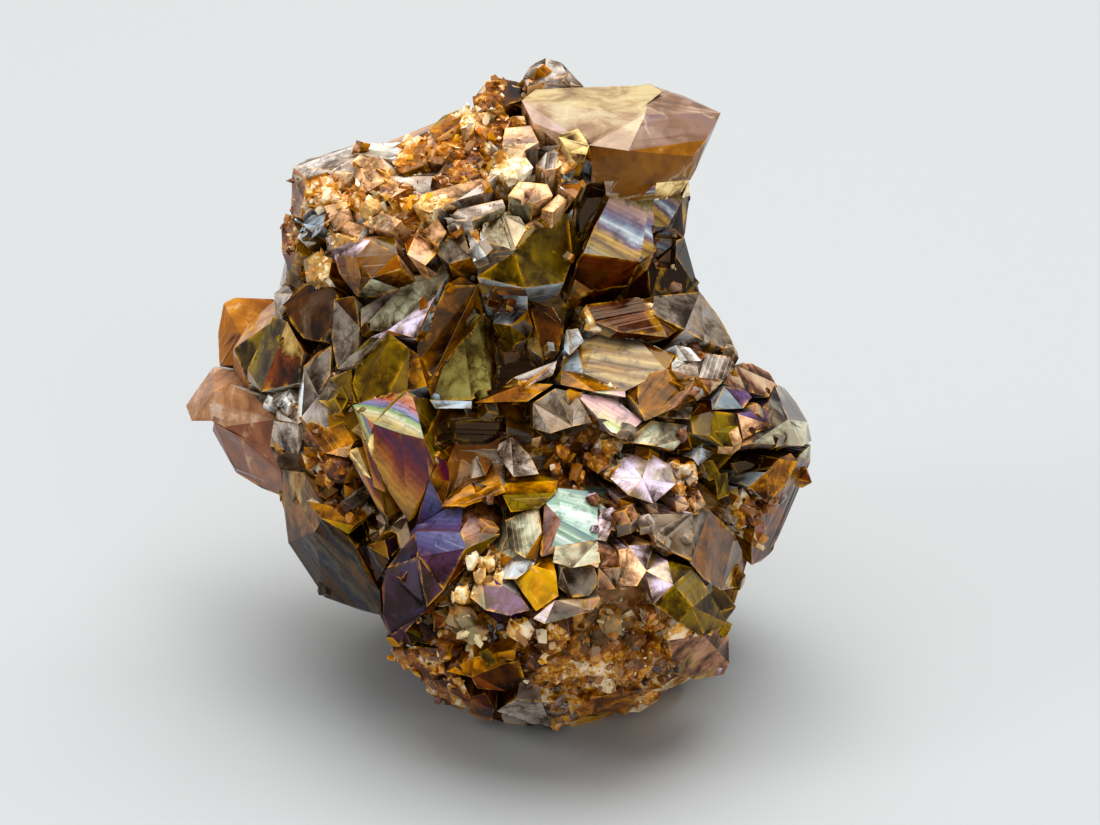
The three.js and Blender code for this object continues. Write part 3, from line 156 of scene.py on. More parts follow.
# Where each tint shows on the well-known side: places right and up of the heart, in millimetres.
tonePlaces = {
    "silver": [(-6.1, 8.3), (-2.9, 7.6), (-1.5, 6.2), (1.6, 11.6), (-7.4, -0.7), (-7.6, -1.4), (7.2, 0.95),
               (0.6, -2.4), (1.8, 8.4), (-0.9, 6.55), (3.4, 8.35), (1.6, 0.75), (-8.0, 3.4), (-4.9, -3.5),
               (1.0, -11.3)],
    "smoke": [(6.9, 2.8), (7.7, 2.2), (-6.6, 0.8), (0.5, 2.1), (4.8, -0.8), (5.9, -0.7), (-0.1, 5.15),
              (6.1, -5.0), (-1.7, 5.3), (2.0, -0.5), (1.5, -1.0), (2.8, -6.6), (3.4, 2.05), (10.4, -0.6),
              (-5.4, 1.4)],
    "steel": [(0.4, 3.0), (-2.3, 3.5), (2.6, 1.9), (7.9, -3.3), (-1.7, -0.35), (7.2, -2.2), (8.0, -0.2),
              (2.6, 7.7), (-6.6, 6.1)],
    # Frost places lie partly where faces show a glint or reflection: painted sheen.
    "frostAndSheen": [(-3.9, 8.75), (-0.9, 5.4), (6.8, 1.5), (0.6, -6.3), (-7.8, -0.15)],
    "sage": [(-3.6, 3.0), (5.7, -1.4), (0.9, -5.0), (2.7, -5.75), (0.1, 5.9), (10.8, -1.2)],
    "mauve": [(8.9, 0.5), (4.2, -4.5), (7.2, -9.4), (2.4, -7.7), (-0.9, -4.6), (-7.2, 7.1), (3.8, -6.2),
              (2.5, -4.9), (1.8, -4.6)],
    "lilac": [(-5.2, 4.9), (3.7, -4.7), (4.9, -6.0), (-3.3, 2.5), (4.55, -3.1), (5.4, -3.4), (5.2, -2.8),
              (5.8, -3.2)],
    "umber": [(-4.2, 4.9), (6.2, 0.3), (7.8, -5.6), (-6.5, -3.4), (-5.2, 4.1), (9.4, -5.4), (-1.5, 2.4),
              (-7.2, -5.0)],
    "russet": [(-5.4, 4.3), (-4.4, -5.9), (7.2, 1.7), (-0.7, -11.1), (-7.6, 1.0), (10.4, -3.6),
               (-7.4, 4.8)],
    "darkBrown": [(-6.7, 3.0), (1.6, 2.4), (-2.2, -1.2), (-0.5, -1.0), (0.5, 1.3), (0.3, -10.1),
                  (9.4, -2.4), (-5.9, -3.3), (1.2, 10.7)],
    "nearBlack": [(6.4, 6.3), (6.2, 4.2), (3.1, 6.6), (-4.5, -5.0), (-2.6, -8.2), (6.2, 5.2), (-6.8, 5.4)],
    "maroon": [(4.7, 2.8), (4.2, 2.5), (5.4, 2.3), (4.0, 4.3), (-1.8, -5.6), (3.8, 2.9)],
    "olive": [(0.8, 4.9), (1.8, 5.6), (6.7, -7.2), (8.2, -0.9), (-8.1, 1.3), (1.2, -3.8), (7.4, -2.7)],
    "deepOlive": [(-3.9, 1.0), (-4.7, 0.4), (-2.3, -1.2), (7.4, -7.8)],
    "mossGrey": [(-1.1, 1.3), (-1.2, 2.2), (-0.7, 0.4)],
    "goldBrown": [(-2.4, 1.4), (-1.6, 3.4), (0.5, 0.1), (-1.0, -3.6), (3.2, 0.4), (-2.2, -3.4),
                  (-6.1, -4.3), (0.9, -3.4)],
    "tan": [(-6.0, -1.5), (9.7, -2.9), (1.2, -6.9), (-0.7, -9.5), (-2.0, 9.7), (5.5, 9.1)],
    "peach": [(-1.6, 7.1), (-5.4, 6.2), (-3.9, 5.9), (8.5, -1.3), (4.45, -6.2), (-4.6, 8.0), (-3.6, 7.3),
              (5.2, -4.6), (7.0, -3.8), (0.9, 9.1), (-2.8, 5.2), (1.9, 6.8)],
    "cream": [(2.7, 8.9), (2.3, 8.2), (-4.7, -2.4), (6.7, 7.3)],
    "violet": [(-2.2, -4.9), (0.0, -7.2), (8.7, -0.3)],
    "deepViolet": [(-2.9, -6.6), (-2.2, -6.4), (-3.9, -8.2), (-3.6, -6.0)],
    "honey": [(2.5, 7.35), (-9.2, 2.6), (-8.8, 2.0), (-9.6, 1.6), (-8.4, 3.0), (-0.8, -2.6)],
    "amber": [(5.0, 8.1), (6.4, 8.1), (3.6, 8.3), (4.6, 7.7), (5.7, 8.3), (3.8, 7.6), (6.6, 7.8)],
    "paleClear": [(2.4, 9.8), (3.4, 9.7), (4.4, 9.3), (1.6, 10.2)],
    "mauveClear": [(6.6, 9.7), (6.2, 10.2), (6.2, 9.4), (7.2, 9.4)],
    "strawClear": [(4.9, 10.6), (3.9, 10.6), (4.3, 10.6)],
    "roseClear": [(-10.2, -0.2), (-10.6, -0.6), (-9.2, -0.7)],
    "rustClear": [(-9.2, -2.2), (-8.4, -2.9), (-9.9, -1.6), (-8.9, -1.7), (-9.6, -2.4)],
    "ochreCrust": [(1.8, -8.8), (3.4, -9.4), (4.8, -8.7), (2.4, -10.2), (4.8, -9.8), (-2.3, 8.0),
                   (-0.6, 10.6), (-1.8, -8.8), (3.2, -1.9), (2.2, -2.5), (8.8, -4.2)],
    "orangeCrust": [(-6.2, 7.2), (-3.2, 8.4), (-5.2, 6.9), (-1.7, 8.6), (-0.4, 9.2), (6.6, -3.1),
                    (5.7, -8.3), (-3.4, 6.9)],
    # Cream crust at (3.1, -8.0) and (4.6, -8.0) is a painted highlight on the crust.
    "creamCrust": [(-4.4, 6.6), (-5.8, 5.6), (-1.3, -7.3), (-1.4, -8.0), (-0.9, -8.6), (3.1, -8.0),
                   (4.6, -8.0), (-6.6, 4.5), (-0.8, 9.9), (-2.0, 6.7), (3.3, 2.5), (-0.4, -6.3),
                   (0.2, 8.3)],
    "rustCrust": [(-2.2, -10.0), (-6.0, -2.9), (-7.5, 5.6), (-1.0, 8.3), (7.2, 1.6), (0.9, -9.9),
                  (-5.9, -3.9)],
}

# Faces that play in rainbow colours: place and reach in mm, slope of the bands in degrees, spacing of their
# steps in mm, and the colours in order.
rainbowFaces = {
    "goldVioletFace": ((4.7, 6.05), 1.4, -22, 0.22, [
        (0.0, "#8a8078"), (0.1, "#a3873a"), (0.2, "#6b4a2a"), (0.3, "#c79a3c"), (0.4, "#6a5472"),
        (0.5, "#c9d3d6"), (0.58, "#77809a"), (0.68, "#8a6f84"), (0.78, "#c9a08c"), (0.88, "#8d7a34"),
        (1.0, "#5c4a22")]),
    "greenOrangeFace": ((-3.9, -0.6), 1.2, -38, 0.3, [
        (0.0, "#6a7a2c"), (0.15, "#b8962c"), (0.3, "#c9c49a"), (0.42, "#7f9c3a"), (0.52, "#5a6496"),
        (0.62, "#9a7ea0"), (0.75, "#b8502a"), (0.88, "#c97e34"), (1.0, "#a8604c")]),
    "pinkGreenFace": ((3.75, -0.6), 0.9, -42, 0.28, [
        (0.0, "#e8ead8"), (0.2, "#b9c46a"), (0.4, "#e0c9a0"), (0.6, "#dcb0a4"), (0.8, "#c99a9a"),
        (1.0, "#7b6c6a")]),
    "mintFace": ((2.8, -4.2), 0.95, -30, 0.34, [
        (0.0, "#7d9c86"), (0.2, "#a8c4b0"), (0.4, "#e6efe6"), (0.55, "#8fb39a"), (0.75, "#b9cdb4"),
        (1.0, "#6f8c8c")]),
    "amberVioletFace": ((-3.5, -2.7), 1.4, -50, 0.6, [
        (0.0, "#6e4a18"), (0.2, "#c48a2a"), (0.42, "#b0601a"), (0.58, "#7a2216"), (0.76, "#4c163c"),
        (0.9, "#6a1c1c"), (1.0, "#8a4a14")]),
    "blueSheenFace": ((-5.6, -6.3), 1.5, -35, 0.5, [
        (0.0, "#140c08"), (0.3, "#4a2e12"), (0.48, "#262a3a"), (0.58, "#544c38"), (0.72, "#2a180c"),
        (0.86, "#5a3a14"), (1.0, "#1c100a")]),
    "creamBandFace": ((4.1, 1.2), 1.1, -12, 0.3, [
        (0.0, "#5c3c10"), (0.2, "#b08438"), (0.32, "#6e4a1c"), (0.5, "#cfae6a"), (0.62, "#94692c"),
        (0.76, "#c4a468"), (0.9, "#6a5a48"), (1.0, "#4a3a30")]),
    "violetFace": ((-2.2, -4.8), 1.0, -35, 0.4, [
        (0.0, "#5b2f2a"), (0.3, "#4c3d6a"), (0.6, "#5d5a86"), (0.8, "#6e6a94"), (1.0, "#4d332e")]),
}

# How far a rainbow face's bands wander off straight, and how strongly it reflects. The low face is duller.
rainbowLooks = {"usual": (0.3, 0.18), "blueSheenFace": (0.7, 0.03)}

# Tints of the faces on the sides, top and back, with their share.
hiddenTones = (
    ["umber"] * 5 + ["darkBrown"] * 4 + ["olive"] * 3 + ["deepOlive"] * 3 + ["russet"] * 3 + ["smoke"] * 2
    + ["goldBrown"] * 3 + ["mauve"] * 2 + ["tan"] * 2 + ["maroon"] * 2 + ["sage", "silver", "violet"]
    + ["ochreCrust"] * 3 + ["orangeCrust", "rustCrust", "rustCrust", "creamCrust"]
)


# Glassy garnet: deep brown and lustrous. Light comes back from clouds, veils and cells inside it, so each
# face shows its own broken pattern; that light is painted into the colour as glow patches, each face is
# painted lighter towards its upper side, and a painted glow runs along its sharp edges. Its tint also
# carries painted shade in hollows. It reflects less than a real one, and warmer, because a pale floor
# mirrored in the low faces would lay a grey film over them.
def makeGlassyGarnet(name, shine):
    material, tree, output = startMaterial(name)
    tone = addNode(tree, "ShaderNodeAttribute", {"attribute_name": "tone"})
    glow = addNode(tree, "ShaderNodeAttribute", {"attribute_name": "glow"})
    rim = addNode(tree, "ShaderNodeAttribute", {"attribute_name": "rim"})
    facet = addNode(tree, "ShaderNodeUVMap", {"uv_map": "facetPlane"})
    clouds = addNode(tree, "ShaderNodeTexNoise", None,
                     {"Scale": perMillimetre(0.90909), "Detail": 8.0, "Roughness": 0.66, "Distortion": 0.4},
                     {"Vector": facet.outputs["UV"]})
    spread = addNode(tree, "ShaderNodeUVMap", {"uv_map": "facetSpread"})
    split = addNode(tree, "ShaderNodeSeparateXYZ", None, None, {"Vector": spread.outputs["UV"]})
    # Painted light: each face is painted lighter towards its upper side, across its growth lines.
    slope = addNode(tree, "ShaderNodeMath", {"operation": "MULTIPLY_ADD"}, {1: 0.2},
                    {0: split.outputs["X"], 2: clouds.outputs["Fac"]})
    sloped = addNode(tree, "ShaderNodeMath", {"operation": "SUBTRACT"}, {1: 0.1}, {0: slope.outputs["Value"]})
    shade = addNode(tree, "ShaderNodeValToRGB", None, None, {"Fac": sloped.outputs["Value"]})
    setRamp(shade, [(0.34, "#30241c"), (0.46, "#92857a"), (0.58, "#ece4dc"), (0.66, "#ffffff")])
    shaded = addNode(tree, "ShaderNodeMix", {"data_type": "RGBA", "blend_type": "MULTIPLY"}, {0: 1.0},
                     {6: tone.outputs["Color"], 7: shade.outputs["Color"]})
    bright = addNode(tree, "ShaderNodeVectorMath", {"operation": "SCALE"}, {"Scale": 1.55},
                     {0: shaded.outputs[2]})
    # Painted glow: patches where light from inside the stone shows, in the face's glow colour.
    patches = addNode(tree, "ShaderNodeTexNoise", None,
                      {"Scale": perMillimetre(2.38095), "Detail": 7.0, "Roughness": 0.62, "Distortion": 0.8},
                      {"Vector": facet.outputs["UV"]})
    patchMask = addNode(tree, "ShaderNodeMapRange", None,
                        {"From Min": 0.5, "From Max": 0.64, "To Min": 0.0, "To Max": 0.8},
                        {"Value": patches.outputs["Fac"]})
    lit = addNode(tree, "ShaderNodeMix", {"data_type": "RGBA"}, None,
                  {0: patchMask.outputs["Result"], 6: bright.outputs["Vector"], 7: glow.outputs["Color"]})
    cells = addNode(tree, "ShaderNodeTexVoronoi", {"feature": "DISTANCE_TO_EDGE"},
                    {"Scale": perMillimetre(0.47619)}, {"Vector": facet.outputs["UV"]})
    cellLine = addNode(tree, "ShaderNodeMapRange", None,
                       {"From Min": 0.0, "From Max": 0.07, "To Min": 0.62, "To Max": 0.0},
                       {"Value": cells.outputs["Distance"]})
    cellHere = addNode(tree, "ShaderNodeMapRange", None,
                       {"From Min": 0.42, "From Max": 0.5, "To Min": 1.0, "To Max": 0.0},
                       {"Value": patches.outputs["Fac"]})
    cellShare = addNode(tree, "ShaderNodeMath", {"operation": "MULTIPLY"}, None,
                        {0: cellLine.outputs["Result"], 1: cellHere.outputs["Result"]})
    celled = addNode(tree, "ShaderNodeMix", {"data_type": "RGBA"}, {7: linear("#1c0d05")},
                     {0: cellShare.outputs["Value"], 6: lit.outputs[2]})
    # Painted glow: pale gold along the sharp edges, where thin crystal lets light through.
    edgeGlowMask = addNode(tree, "ShaderNodeMath", {"operation": "POWER"}, {1: 2.5}, {0: rim.outputs["Fac"]})
    edgeGlowPatch = addNode(tree, "ShaderNodeMapRange", None,
                       {"From Min": 0.47, "From Max": 0.62, "To Min": 0.0, "To Max": 0.75},
                       {"Value": clouds.outputs["Fac"]})
    edgeGlowShare = addNode(tree, "ShaderNodeMath", {"operation": "MULTIPLY"}, None,
                       {0: edgeGlowMask.outputs["Value"], 1: edgeGlowPatch.outputs["Result"]})
    warm = addNode(tree, "ShaderNodeMix", {"data_type": "RGBA"}, {7: linear("#d3a052")},
                   {0: edgeGlowShare.outputs["Value"], 6: celled.outputs[2]})
    rich = addNode(tree, "ShaderNodeHueSaturation", None, {"Saturation": 1.18, "Value": 1.85},
                   {"Color": warm.outputs[2]})
    gloss = addNode(tree, "ShaderNodeMapRange", None, {"To Min": 0.03, "To Max": 0.25},
                    {"Value": clouds.outputs["Fac"]})
    lines = addNode(tree, "ShaderNodeTexWave", {"wave_profile": "SAW"},
                    {"Scale": waveScale(0.19635), "Distortion": 1.0, "Detail": 2.0, "Detail Scale": 0.6},
                    {"Vector": facet.outputs["UV"]})
    relief = addNode(tree, "ShaderNodeBump", None, {"Strength": 0.12, "Distance": 0.00002},
                     {"Height": lines.outputs["Fac"]})
    shader = addNode(tree, "ShaderNodeBsdfPrincipled", None,
                     {"IOR": 1.88, "Specular IOR Level": shine, "Specular Tint": linear("#f0c89a")},
                     {"Base Color": rich.outputs["Color"], "Roughness": gloss.outputs["Result"],
                      "Normal": relief.outputs["Normal"]})
    tree.links.new(shader.outputs["BSDF"], output.inputs["Surface"])
    return material


# Clear garnet: see-through, straw to honey coloured, with milky and amber clouds in it.
def makeClearGarnet():
    material, tree, output = startMaterial("clearHoneyGarnet")
    # The tone and glow attributes carry painted shade in hollows.
    tone = addNode(tree, "ShaderNodeAttribute", {"attribute_name": "tone"})
    place = addNode(tree, "ShaderNodeTexCoord")
    clouds = addNode(tree, "ShaderNodeTexNoise", None,
                     {"Scale": perMetre(1.5), "Detail": 7.0, "Roughness": 0.62, "Distortion": 0.6},
                     {"Vector": place.outputs["Object"]})
    shade = addNode(tree, "ShaderNodeValToRGB", None, None, {"Fac": clouds.outputs["Fac"]})
    setRamp(shade, [(0.34, "#8a6a58"), (0.48, "#d9c2ac"), (0.56, "#fff2e0"), (0.64, "#ffffff")])
    tinted = addNode(tree, "ShaderNodeMix", {"data_type": "RGBA", "blend_type": "MULTIPLY"}, {0: 0.9},
                     {6: tone.outputs["Color"], 7: shade.outputs["Color"]})
    glow = addNode(tree, "ShaderNodeAttribute", {"attribute_name": "glow"})
    stainShare = addNode(tree, "ShaderNodeMapRange", None,
                         {"From Min": 0.5, "From Max": 0.66, "To Min": 0.1, "To Max": 0.75},
                         {"Value": clouds.outputs["Fac"]})
    milky = addNode(tree, "ShaderNodeMix", {"data_type": "RGBA"}, None,
                    {0: stainShare.outputs["Result"], 6: tinted.outputs[2], 7: glow.outputs["Color"]})
    bend = addNode(tree, "ShaderNodeVectorMath", {"operation": "SCALE"}, {"Scale": 0.0011},
                   {0: clouds.outputs["Color"]})
    bent = addNode(tree, "ShaderNodeVectorMath", {"operation": "ADD"}, None,
                   {0: place.outputs["Object"], 1: bend.outputs["Vector"]})
    cracks = addNode(tree, "ShaderNodeTexVoronoi", {"feature": "DISTANCE_TO_EDGE"}, {"Scale": perMetre(1.9)},
                     {"Vector": bent.outputs["Vector"]})
    crackLine = addNode(tree, "ShaderNodeMapRange", None,
                        {"From Min": 0.0, "From Max": 0.035, "To Min": 0.6, "To Max": 0.0},
                        {"Value": cracks.outputs["Distance"]})
    crackHere = addNode(tree, "ShaderNodeMapRange", None, {"From Min": 0.5, "From Max": 0.6},
                        {"Value": clouds.outputs["Fac"]})
    crackShare = addNode(tree, "ShaderNodeMath", {"operation": "MULTIPLY"}, None,
                         {0: crackLine.outputs["Result"], 1: crackHere.outputs["Result"]})
    veiled = addNode(tree, "ShaderNodeMix", {"data_type": "RGBA"}, {7: linear("#f6e2bc")},
                     {0: crackShare.outputs["Value"], 6: milky.outputs[2]})
    shader = addNode(tree, "ShaderNodeBsdfPrincipled", None,
                     {"IOR": 1.88, "Transmission Weight": 0.25, "Roughness": 0.07, "Specular IOR Level": 0.1,
                      "Specular Tint": linear("#f6d8b4")},
                     {"Base Color": veiled.outputs[2]})
    tree.links.new(shader.outputs["BSDF"], output.inputs["Surface"])
    return material


# Ochre crust: iron-stained grains between the crystals, dull and crumbly, from cream to rust.
def makeOchreCrust():
    material, tree, output = startMaterial("ochreCrust")
    # The tone attribute carries painted shade in hollows.
    tone = addNode(tree, "ShaderNodeAttribute", {"attribute_name": "tone"})
    place = addNode(tree, "ShaderNodeTexCoord")
    crumbs = addNode(tree, "ShaderNodeTexVoronoi", {"feature": "F1"},
                     {"Scale": perMetre(0.28), "Randomness": 1.0}, {"Vector": place.outputs["Object"]})
    stain = addNode(tree, "ShaderNodeTexNoise", None,
                    {"Scale": perMetre(0.8), "Detail": 10.0, "Roughness": 0.74},
                    {"Vector": place.outputs["Object"]})
    patches = addNode(tree, "ShaderNodeTexNoise", None, {"Scale": perMetre(2.2), "Detail": 2.0},
                      {"Vector": place.outputs["Object"]})
    uneven = addNode(tree, "ShaderNodeMath", {"operation": "MULTIPLY_ADD"}, {1: 0.7},
                     {0: patches.outputs["Fac"], 2: stain.outputs["Fac"]})
    centred = addNode(tree, "ShaderNodeMath", {"operation": "SUBTRACT"}, {1: 0.35},
                      {0: uneven.outputs["Value"]})
    ramp = addNode(tree, "ShaderNodeValToRGB", None, None, {"Fac": centred.outputs["Value"]})
    setRamp(ramp, [(0.37, "#140804"), (0.44, "#5a2c0e"), (0.5, "#9c5a1c"), (0.56, "#d0a058"),
                   (0.62, "#f6ead0")])
    mixed = addNode(tree, "ShaderNodeMix", {"data_type": "RGBA"}, {0: 0.7},
                    {6: tone.outputs["Color"], 7: ramp.outputs["Color"]})
    relief = addNode(tree, "ShaderNodeBump", None, {"Strength": 0.7, "Distance": 0.00008},
                     {"Height": crumbs.outputs["Distance"]})
    rich = addNode(tree, "ShaderNodeHueSaturation", None, {"Saturation": 1.18, "Value": 1.36},
                   {"Color": mixed.outputs[2]})
    shader = addNode(tree, "ShaderNodeBsdfPrincipled", None,
                     {"Roughness": 0.4, "IOR": 1.6, "Specular IOR Level": 0.25},
                     {"Base Color": rich.outputs["Color"], "Normal": relief.outputs["Normal"]})
    tree.links.new(shader.outputs["BSDF"], output.inputs["Surface"])
    return material


# Rainbow face: thin growth layers split the light, so bands of colour follow the steps.
def makeRainbow(name, stops, wandering, shine):
    material, tree, output = startMaterial(name)
    facet = addNode(tree, "ShaderNodeUVMap", {"uv_map": "facetSpread"})
    plane = addNode(tree, "ShaderNodeUVMap", {"uv_map": "facetPlane"})
    place = addNode(tree, "ShaderNodeTexCoord")
    wander = addNode(tree, "ShaderNodeTexNoise", None, {"Scale": perMetre(1.1), "Detail": 6.0},
                     {"Vector": place.outputs["Object"]})
    split = addNode(tree, "ShaderNodeSeparateXYZ", None, None, {"Vector": facet.outputs["UV"]})
    drift = addNode(tree, "ShaderNodeMath", {"operation": "MULTIPLY_ADD"}, {1: wandering},
                    {0: wander.outputs["Fac"], 2: split.outputs["X"]})
    centred = addNode(tree, "ShaderNodeMath", {"operation": "SUBTRACT"}, {1: wandering / 2},
                      {0: drift.outputs["Value"]})
    colours = addNode(tree, "ShaderNodeValToRGB", None, None, {"Fac": centred.outputs["Value"]})
    setRamp(colours, stops)
    lines = addNode(tree, "ShaderNodeTexWave", None,
                    {"Scale": waveScale(0.20944), "Distortion": 1.2, "Detail": 2.0},
                    {"Vector": plane.outputs["UV"]})
    shade = addNode(tree, "ShaderNodeMapRange", None, {"To Min": 0.8, "To Max": 1.05},
                    {"Value": lines.outputs["Fac"]})
    banded = addNode(tree, "ShaderNodeMix", {"data_type": "RGBA", "blend_type": "MULTIPLY"}, {0: 0.8},
                     {6: colours.outputs["Color"], 7: shade.outputs["Result"]})
    specks = addNode(tree, "ShaderNodeTexNoise", None,
                     {"Scale": perMetre(0.5), "Detail": 9.0, "Roughness": 0.75},
                     {"Vector": place.outputs["Object"]})
    speckShade = addNode(tree, "ShaderNodeMapRange", None,
                         {"From Min": 0.36, "From Max": 0.5, "To Min": 0.35, "To Max": 1.0},
                         {"Value": specks.outputs["Fac"]})
    mottled = addNode(tree, "ShaderNodeVectorMath", {"operation": "SCALE"}, None,
                      {0: banded.outputs[2], "Scale": speckShade.outputs["Result"]})
    shader = addNode(tree, "ShaderNodeBsdfPrincipled", None,
                     {"IOR": 1.88, "Roughness": 0.24, "Specular IOR Level": shine},
                     {"Base Color": mottled.outputs["Vector"]})
    tree.links.new(shader.outputs["BSDF"], output.inputs["Surface"])
    return material


# Worn edge: the bevelled rim where two faces meet is painted pale gold, a painted glow for the light it lets
# through.
def makePaintedEdgeGlint():
    material = bpy.data.materials.new("paleEdgeGlint")
    material.use_nodes = True
    shader = material.node_tree.nodes["Principled BSDF"]
    shader.inputs["Base Color"].default_value = linear("#b59a6c")
    shader.inputs["Roughness"].default_value = 0.25
    shader.inputs["IOR"].default_value = 1.88
    return material


# Loose grains: small honey to rust garnets, glossy, each of one tint.
def makeGrain():
    material, tree, output = startMaterial("honeyGrain")
    # The tone attribute carries painted shade in hollows.
    tone = addNode(tree, "ShaderNodeAttribute", {"attribute_name": "tone"})
    rich = addNode(tree, "ShaderNodeHueSaturation", None, {"Saturation": 1.15, "Value": 1.35},
                   {"Color": tone.outputs["Color"]})
    shader = addNode(tree, "ShaderNodeBsdfPrincipled", None, {"Roughness": 0.25, "IOR": 1.8},
                     {"Base Color": rich.outputs["Color"]})
    tree.links.new(shader.outputs["BSDF"], output.inputs["Surface"])
    return material


finishes = {
    "glassy": makeGlassyGarnet("glassyGarnet", 0.2),
    "etched": makeGlassyGarnet("etchedGarnet", 0.03),
    "grain": makeGrain(),
    "clear": makeClearGarnet(),
    "crust": makeOchreCrust(),
    "edge": makePaintedEdgeGlint(),
}
for faceName, (*_, faceColours) in rainbowFaces.items():
    faceWandering, faceShine = rainbowLooks.get(faceName, rainbowLooks["usual"])
    finishes[faceName] = makeRainbow(faceName, faceColours, faceWandering, faceShine)
finishNames = list(finishes)
print("finishes made")


# A tree of nodes that makes geometry, with named inputs.
def startTree(name, inputs):
    tree = bpy.data.node_groups.new(name, "GeometryNodeTree")
    tree.interface.new_socket("Geometry", in_out="OUTPUT", socket_type="NodeSocketGeometry")
    tree.interface.new_socket("Geometry", in_out="INPUT", socket_type="NodeSocketGeometry")
    for label, kind in inputs.items():
        tree.interface.new_socket(label, in_out="INPUT", socket_type=kind)
    return tree, tree.nodes.new("NodeGroupInput"), tree.nodes.new("NodeGroupOutput")


# Runs a tree on a mesh and gives the finished mesh back.
def runTree(name, mesh, tree, values):
    carrier = bpy.data.objects.new(name, mesh)
    bpy.context.scene.collection.objects.link(carrier)
    modifier = carrier.modifiers.new(name, "NODES")
    modifier.node_group = tree
    for item in tree.interface.items_tree:
        if item.in_out == "INPUT" and item.name in values:
            modifier[item.identifier] = values[item.name]
    depsgraph = bpy.context.evaluated_depsgraph_get()
    made = bpy.data.meshes.new_from_object(carrier.evaluated_get(depsgraph))
    bpy.data.objects.remove(carrier)
    piece = bpy.data.objects.new(name, made)
    made.name = name
    bpy.context.scene.collection.objects.link(piece)
    print(name, len(made.polygons), "faces")
    return piece


cluster = {
    "flatAngle": 6.0,  # degrees: faces that turn less than this are one crystal face
    # Sharp edges carry a painted glow along them.
    "sharpAngle": 14.0,  # degrees: an edge that turns more than this has a warm rim
    "wornAngle": 18.0,  # degrees: an edge that turns more than this is worn
    "wornLength": 0.5,  # mm, below which an edge isn't worn
    "wornArea": 0.25,  # square mm, below which a face has no worn edges
    "edgeWidth": 0.028,  # mm, of the worn rims
    "bands": ((0.14, 0.05), (0.18, 0.1), (0.35, 0.2)),  # mm: a face wider than this has so wide a lit band
    "bandReach": 1.8,  # band widths, the furthest that a corner of the band moves in
    "crumbEdge": 0.3,  # mm, above which an edge of the crust is divided
    "crumbs": ((0.6, 0.2), (0.17, 0.07)),  # mm, size and height of the crust's lumps
    "stepHeight": 0.022,  # mm, of the growth steps
    "smallestStepped": 0.45,  # square mm, below which a face has no growth steps
    "weakestStepped": 0.35,  # a tint whose growth lines show less than this has no steps
    "rainbowStrength": 0.8,  # how strongly growth lines show on the rainbow faces
    "rainbowArea": 0.15,  # square mm, below which a face has no rainbow
    "broadArea": 3.0,  # square mm, above which a face has few and low steps
    "broadSpacings": (0.7, 1.1, 1.6),  # mm
    "fineSpacings": (0.18, 0.24, 0.35, 0.5, 0.8),  # mm
    "mostLines": 60,  # growth lines on one face
    "foot": 0.1,  # mm above the ground, up to which edges and steps stay as they are
    "crustFoot": 0.2,  # mm above the ground, up to which crust and whole faces stay flat
    "mixedArea": 0.3,  # square mm, below which a face may take a tint from its neighbours' mix
    "mixedShare": 0.4,  # share of such faces that do
    "placeReach": 1.5,  # mm, how far a tint's place reaches
    "leastFacing": 0.12,  # a face turned towards the eye less than this takes a hidden tint
    "farthest": -7.0,  # mm nearer than the heart: faces behind take one too, apart from the next two
    "alwaysAbove": 8.5,  # mm up
    "alwaysLeftOf": -7.5,  # mm right
    "strayShare": 0.25,  # share of the hidden faces whose tint differs from their neighbours'
    "seed": 11,
}


# The light that comes back from inside, painted into the faces' colour: honey, amber, red-brown, olive gold,
# straw, smoke.
glows = ["#96681c", "#b98c34", "#7a4016", "#7a6520", "#b39a6a", "#5c4a3c", "#8a5c1e", "#3a2210", "#6e5018"]
paleGlows = ["#a39884", "#8c8674", "#b3a288", "#7c6a6e", "#a08a5c", "#6e6a62", "#c4b496"]
ownGlows = {
    "silver": ["#8c8783", "#9c948a", "#6e6a66"], "smoke": ["#6e6a62", "#5c564e", "#7a6c5a"],
    "steel": ["#7f8e9a", "#9aa6ac", "#6a7478"], "frostAndSheen": ["#9aa4aa", "#b3ac9c"], "sage": paleGlows,
    "lilac": paleGlows, "mauve": paleGlows, "peach": ["#b89a78", "#cdb49a", "#a08478", "#a88c64"],
    "cream": ["#d9c690", "#c4a86c", "#a89678"], "mossGrey": ["#6a6858", "#5c5a40", "#77704a"],
    "olive": ["#5c4c20", "#6e5a28", "#4a3a18", "#70683c"], "deepOlive": ["#5c4c20", "#6e5a28", "#3c2c10"],
    "deepViolet": ["#4c2014", "#25203e", "#3a1c26", "#1c0c10"], "violet": ["#4c3d6a", "#5b3f3a", "#6a6488"],
    "paleClear": ["#ecd8a8", "#c9a8c4", "#e0b890", "#b89cc0"],
    "mauveClear": ["#a07c68", "#c8a088", "#8a6a70"],
    "strawClear": ["#f0e4bc", "#e0c88c", "#f6ecd4"],
    "amber": ["#9a5c0c", "#d89428", "#7a4408"],
    "honey": ["#f0b040", "#d08a1c", "#b06414"],
    "roseClear": ["#f0cfae", "#c98a5a", "#f4e0cc"],
    "rustClear": ["#7a3414", "#c07a44", "#94481c"],
}


